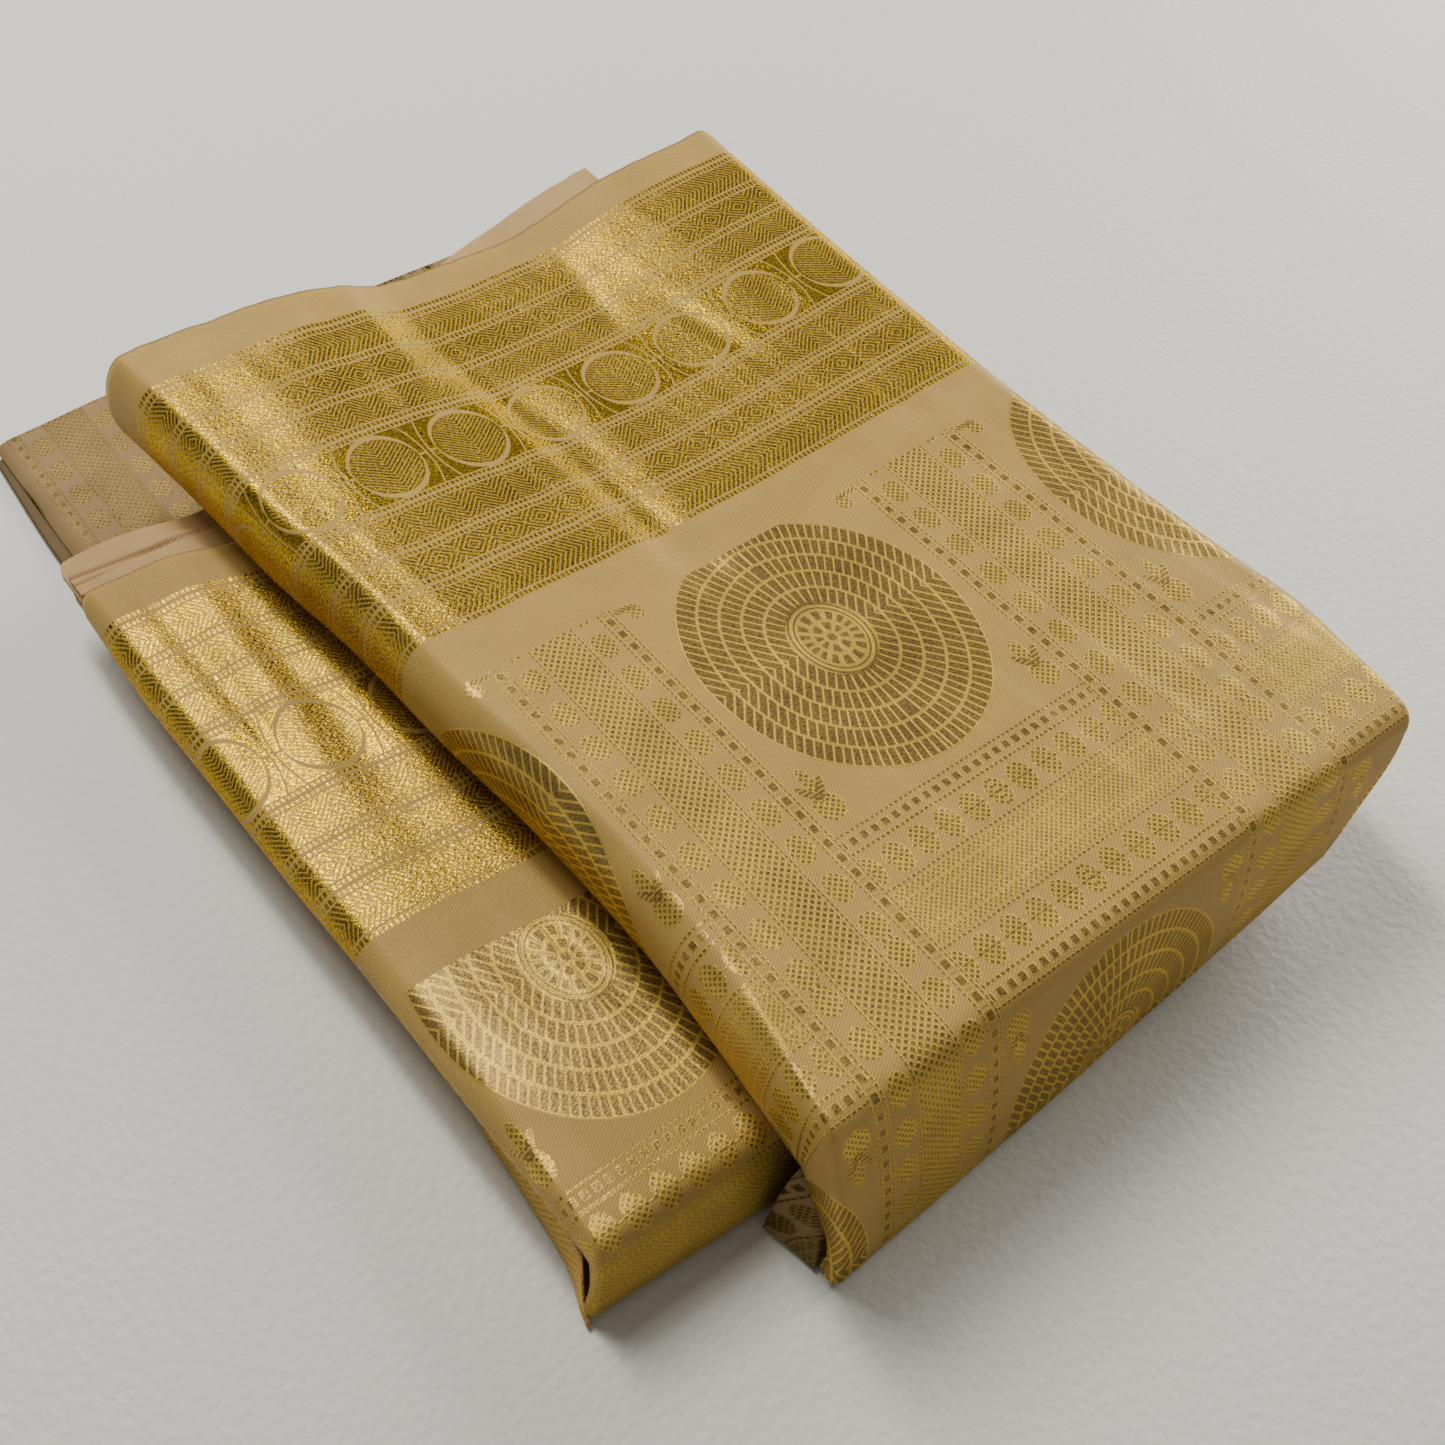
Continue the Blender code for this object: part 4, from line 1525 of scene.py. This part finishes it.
@dataclass
class LowerBundle(Bundle):
    """The bundle below, which shows left of the upper one."""

    top: float = 34.0
    ridge: float = -161.0
    thick: float = 17.0
    front_thick: float = 5.0
    foot_thick: float = 4.6
    ridge_radius: float = 7.0
    foot_radius: float = 4.0
    bulge: float = 1.0
    left: Curve = through(
        (0, 45, 90, 140, 175, 245, 294, 318, 330),
        (-82.0, -83.2, -81.8, -80.5, -78.8, -77.0, -75.6, -78.8, -81.2),
    )
    right: Curve = through(
        (0, 45, 90, 140, 175, 245, 294, 318, 330),
        (170.0, 169.0, 168.0, 167.0, 167.0, 168.0, 168.0, 168.0, 168.0),
    )
    roll: Curve = through((0.0, 40.0, 230.0, 285.0, 310.0), (5.0, 8.0, 8.0, 3.5, 2.6))
    foot: Curve = through((-80.0, 0.0, 170.0), (-165.0, -169.0, -167.0))
    floor: Curve = even(SKIN_CLEAR)
    selvage: Curve = through((-85.0, -55.0, -15.0, 60.0, 170.0), (144.5, 143.5, 135.0, 138.0, 141.0))
    line: Curve = selvage
    creases: tuple[Crease, ...] = (
        Crease((-62.0, -60.0), (120.0, 60.0), 3.6, -0.8, 20.0),
        Crease((-47.0, -50.0), (135.0, 30.0), 4.5, 0.7, 24.0),
        Crease((-35.0, -38.0), (100.0, 0.0), 5.0, -0.5, 24.0),
    )
    steps: Steps = Steps(top=110, ridge=8, front=14, foot=6, flat=150, fold=20)
    layers: int = 5
    recess: float = 0.5
    seed: int = 22
    base_left: Curve = through((-160.0, -120.0, 0.0, 150.0), (-71.8, -71.4, -71.5, -72.5))
    base_back: Curve = through((-85.0, -40.0, 40.0, 170.0), (152.0, 156.0, 150.0, 154.0))
    base_layers: int = 6
    base_bulge: float = 5.0
    strip_right: float = 166.0
    strip_corner: float = 13.0  # how far the strips' left ends are rounded off
    strips: tuple[Strip, ...] = (
        Strip(
            through((-85.0, -55.0, -18.0, 60.0, 170.0), (159.0, 159.5, 150.0, 151.0, 156.0)),
            top=31.4,
            thick=2.2,
            left=-80.6,
            leaves=3,
            seed=40,
            rows=30,
            folds=(
                Crease((-79.0, -28.0), (154.5, 150.0), 0.8, -1.0, 8.0),
                Crease((-80.0, -46.0), (150.5, 151.5), 0.7, -0.8, 8.0),
            ),
        ),
        Strip(
            through((-85.0, -65.0, -18.0, 60.0, 170.0), (166.0, 168.5, 162.0, 160.0, 163.0)),
            top=28.8,
            thick=2.6,
            left=-81.4,
            leaves=3,
            seed=49,
        ),
        Strip(
            through((-85.0, -40.0, 60.0, 170.0), (164.5, 166.0, 165.0, 160.0)),
            top=25.8,
            thick=8.4,
            left=-80.8,
            leaves=7,
            seed=58,
        ),
    )

    def sag(self, x: Array, y: Array) -> Array:
        """The top is a little lower at the left fold, and gently uneven."""
        waves = 0.3 * ripples(x + 0.1 * y, 13, 40.0) * (0.5 + 0.5 * ripples(y, 14, 120.0, 2))
        return 0.6 * ramp(-x, 60.0, 20.0) - ramp(y, -161.0, 40.0) * (lifted(self.creases, x, y) + waves)

    def build(self, pile: Pile) -> None:
        """Lays the outer cloth, the layers in it and under it, the corner fold and the strips behind.

        Args:
            pile: where the pile stands.
        """
        pile.lay("lower_cloth", self.outer_cloth(), LOWER_BROCADE, "lower_stretch")
        pile.lay("lower_inner_layers", self.hidden_layers(), PLAIN_SILK, "lower_layers")
        pile.lay("lower_base_folds", self.base_folds(), LOWER_BROCADE, "lower_base_layers")
        pile.lay("lower_corner", self.corner_fold(), LOWER_BROCADE, "lower_corner_fold")
        for number, strip in enumerate(self.strips, start=1):
            sheets = self.strip_leaves(strip)
            pile.lay(f"lower_selvage_{number}", sheets, PLAIN_SILK, f"lower_strip_{number}")

    def base_folds(self) -> Sheets:
        """The lower half of the layers, flat on the table, with round folds at the sides.

        Returns:
            The leaves.
        """
        draw = np.random.default_rng(23)
        pitch = BASE_TOP / self.base_layers
        sheets = Sheets()
        for k in range(self.base_layers):
            side_in, back_in = draw.uniform(0, 1.6), draw.uniform(0, 3.0)
            bulge = self.base_bulge * drawn_in((2 * k + 1) / self.base_layers - 1)
            wave = int(draw.integers(1000))
            leaf = Leaf(
                uneven(self.base_left, side_in + bulge, 0.4, wave, 60.0),
                even(BASE_RIGHT - (side_in + bulge)),
                even(BASE_FRONT + (0.0 if k in (1, 2, 3) else 0.6)),
                uneven(self.base_back, -back_in - 0.4 * bulge - 0.6, 0.6, wave, 80.0),
                even((k + 0.5) * pitch),
                even(pitch / 2 - 0.06),
                origin=(0.0, 20.0),
            )
            leaf.into(sheets, rows=30, columns=40)
        return sheets

    def corner_fold(self) -> Sheets:
        """A fold of the layers below that shows under the left side and meets the front face at its foot.

        Returns:
            The fold, a standing sheet whose height and lean change along it.
        """
        share, level = np.linspace(0, 1, 70)[:, None], np.linspace(0, 1, 14)[None]
        origin = (-40.0, 150.0)  # place on the cloth of X and Y nought
        places = (-165.7, -161.0, -156.5, -152.8, -143.0, -120.0, -98.0)
        y = places[-1] - (places[-1] - places[0]) * share
        x = through(places, (-82.1, -81.2, -79.8, -78.4, -76.4, -74.6, -73.4))(y)
        high = through(places, (1.6, 6.5, 14.0, 19.0, 19.0, 17.0, 12.0))(y)
        lean = through(places, (0.2, 1.0, 2.4, 3.2, 2.4, 1.6, 1.0))(y)
        x = x - 0.5 * np.sin(np.pi * level) + lean * level + 0.25 * ripples(y, 31, 30.0) * level
        z = SKIN_CLEAR + (high - SKIN_CLEAR) * level
        y = y + 0 * level
        outer = np.stack([x, y, z], axis=-1)
        inner = outer + (CLOTH_THICK, 0.0, 0.0)
        cloth = np.stack([x + origin[0] + (high - z), origin[1] - y], axis=-1)
        sheets = Sheets()
        sheets.add(closed_rim(outer, inner), inner, cloth)
        return sheets

    def strip_leaves(self, strip: Strip) -> Sheets:
        """The leaves of one strip, whose edges together are like a round fold.

        Args:
            strip: its sizes.

        Returns:
            The leaves.
        """
        sheets = Sheets()
        pitch = strip.thick / strip.leaves
        corner = float(strip.edge(strip.left))
        front = uneven(self.selvage, 2 * SEAM)
        for k in range(strip.leaves):
            rounded = 0.5 * strip.thick * drawn_in((2 * k + 1) / strip.leaves - 1) + 0.4 * (k % 2)

            def left(y: Array, start: float = strip.left + rounded) -> Array:
                """X of the left end, drawn in towards the back."""
                size = self.strip_corner
                return start + size * ramp(y - corner, -size, size) ** 2.2

            def middle(x: Array, y: Array, k: int = k) -> Array:
                """Its height, with an uneven wave and the folds."""
                high = strip.top - (k + 0.5) * pitch
                return high + 0.25 * ripples(x, 70 + k, 50.0) + lifted(strip.folds, x, y)

            back = uneven(strip.edge, -(0.5 + 0.7 * k), 0.6, strip.seed + k)
            leaf = Leaf(left, even(self.strip_right - k), front, back, middle, even(0.42 * pitch))
            leaf.into(sheets, strip.rows, columns=90)
        return sheets


@dataclass
class FloorLeaves:
    """The two leaves that stick out at the back, flat on the table."""

    front: Curve
    back: Curve = through((-70.0, -20.0, 60.0, 160.0), (264.5, 267.5, 268.0, 266.0))
    ripple: Curve = through((-70.0, -45.0, -10.0, 60.0, 160.0), (0.6, 0.0, 0.5, 0.0, 0.4))
    top_left: Curve = through((150.0, 190.0, 262.0), (-68.5, -68.3, -67.5))
    under_left: Curve = through((150.0, 200.0, 262.0), (-73.5, -73.0, -70.0))

    def build(self, pile: Pile) -> None:
        """Lays the patterned leaf and the one under it, each of two plies.

        Args:
            pile: where the pile stands.
        """
        top, under = Sheets(), Sheets()
        for high, pulled in ((5.3, 0.0), (4.1, 1.2)):

            def middle(x: Array, y: Array, high: float = high) -> Array:
                """Its height, which droops at the left edge."""
                return high + self.ripple(x) + 0 * y - 2.6 * ramp(-x, 60.0, 8.5) ** 2

            left, back = uneven(self.top_left, pulled), uneven(self.back, -pulled)
            leaf = Leaf(left, even(160.0), self.front, back, middle, even(0.5), (0.0, 210.0))
            leaf.into(top, rows=40, columns=90)
        for high, pulled in ((2.25, 0.0), (0.75, 1.4)):
            left, back = uneven(self.under_left, pulled), uneven(self.back, -5.0 - pulled)
            leaf = Leaf(left, even(155.0), self.front, back, even(high), even(0.68), (0.0, 215.0))
            leaf.into(under, rows=30, columns=60)
        # Both leaves are painted in shade: the patterned one with the darkened brocade, the one under it near
        # black.
        pile.lay("floor_leaf_cloth", top, PAINTED_SHADE_BROCADE, "floor_leaf")
        pile.lay("floor_leaf_under_cloth", under, PAINTED_SHADE_SILK, "floor_leaf_under")


@dataclass(frozen=True)
class Light:
    """A soft area light that points at the pile."""

    name: str
    towards: tuple[float, float, float]  # from the pile, any length
    away: float
    size: tuple[float, float]
    watts: float

    def build(self) -> None:
        """Makes the light and turns it to the pile's middle."""
        lamp = bpy.data.lights.new(self.name, "AREA")
        lamp.shape = "RECTANGLE"
        lamp.size, lamp.size_y = self.size
        lamp.energy = self.watts
        way = Vector(self.towards).normalized()
        item = bpy.data.objects.new(self.name, lamp)
        turn = way.to_track_quat("Z", "Y").to_matrix().to_4x4()
        item.matrix_world = Matrix.Translation(way * self.away) @ turn
        bpy.context.scene.collection.objects.link(item)


@dataclass(frozen=True)
class Studio:
    """The plain pale floor, the soft light and the camera at the photograph's angle."""

    camera_place: tuple[float, float, float] = (-182.3, -323.0, 504.4)
    elevation: float = math.radians(51.0)
    heading: float = math.radians(40.7)
    roll: float = math.radians(3.74)
    lens: float = 44.8
    sensor: float = 36.0
    room_colour: Colour = (0.94, 0.95, 0.96)
    room_light: float = 0.19
    floor_size: float = 6.0
    floor_colour: Colour = (0.80, 0.775, 0.67)
    floor_roughness: float = 0.55
    grain: float = 300.0  # spots of grain for each metre
    grain_high: float = 0.0003
    lights: tuple[Light, ...] = (
        Light("right", (1.0, 0.15, 0.45), 2.2, (1.5, 1.2), 42.0),
        Light("overhead", (-0.05, 0.75, 1.0), 2.0, (0.9, 0.9), 20.0),
        Light("strip", (0.04, 0.5, 0.86), 2.0, (0.25, 1.0), 17.0),
    )

    def build(self, pile: Pile) -> None:
        """Makes the floor, the lights, the world and the camera.

        Args:
            pile: where the pile stands.
        """
        self.floor()
        for light in self.lights:
            light.build()
        world = bpy.data.worlds.new("soft room")
        world.use_nodes = True
        feed(world.node_tree.nodes["Background"], Color=self.room_colour, Strength=self.room_light)
        bpy.context.scene.world = world
        self.camera(pile)

    def floor(self) -> None:
        """A pale sheet under the pile, with a faint leathery grain."""
        half = self.floor_size / 2
        mesh = bpy.data.meshes.new("floor")
        corners = [(-half, -half, 0), (half, -half, 0), (half, half, 0), (-half, half, 0)]
        mesh.from_pydata(corners, [], [(0, 1, 2, 3)])
        material = bpy.data.materials.new("pale floor")
        material.use_nodes = True
        tree = material.node_tree
        place = Signal(tree, make(tree, "ShaderNodeTexCoord").outputs["Object"])
        grain = make(tree, "ShaderNodeTexNoise", Scale=self.grain, Detail=1.0)
        grain.noise_dimensions = "2D"
        height = Signal(tree, feed(grain, Vector=place).outputs["Fac"])
        bump = make(tree, "ShaderNodeBump", Distance=self.grain_high, Height=height)
        principled = feed(tree.nodes["Principled BSDF"], Normal=Signal(tree, bump.outputs[0]))
        feed(principled, Base_Color=self.floor_colour, Roughness=self.floor_roughness)
        mesh.materials.append(material)
        floor = bpy.data.objects.new("floor", mesh)
        bpy.context.scene.collection.objects.link(floor)

    def camera(self, pile: Pile) -> None:
        """Points the camera down by its elevation, turned from +Y towards +X by its heading, then rolled.

        Args:
            pile: where the pile stands.
        """
        level = math.cos(self.elevation)
        ahead = Vector(
            (level * math.sin(self.heading), level * math.cos(self.heading), -math.sin(self.elevation))
        )
        right = ahead.cross(Vector((0, 0, 1))).normalized()
        above = right.cross(ahead)
        rolled = right * math.cos(self.roll) + above * math.sin(self.roll)
        turn = Matrix((rolled, rolled.cross(ahead), -ahead)).transposed().to_4x4()
        data = bpy.data.cameras.new("camera")
        data.lens = self.lens
        data.sensor_width = self.sensor
        camera = bpy.data.objects.new("camera", data)
        camera.matrix_world = Matrix.Translation(pile.place(np.array(self.camera_place))) @ turn
        bpy.context.scene.collection.objects.link(camera)
        bpy.context.scene.camera = camera


def main() -> None:
    """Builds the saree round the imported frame, then the studio."""
    logging.basicConfig(level=logging.INFO, format="%(name)s: %(message)s")
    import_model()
    charts = {weave: chart_group(weave) for weave in (Weave.BORDER, Weave.FIELD)}
    pile = Pile({**charts, Weave.PLAIN: thread_group()})
    lower = LowerBundle()
    UpperBundle().build(pile)
    lower.build(pile)
    FloorLeaves(uneven(lower.base_back, SEAM)).build(pile)
    Studio().build(pile)
    LOG.info("%d pieces", len(pile.made))


if __name__ == "__main__":
    main()
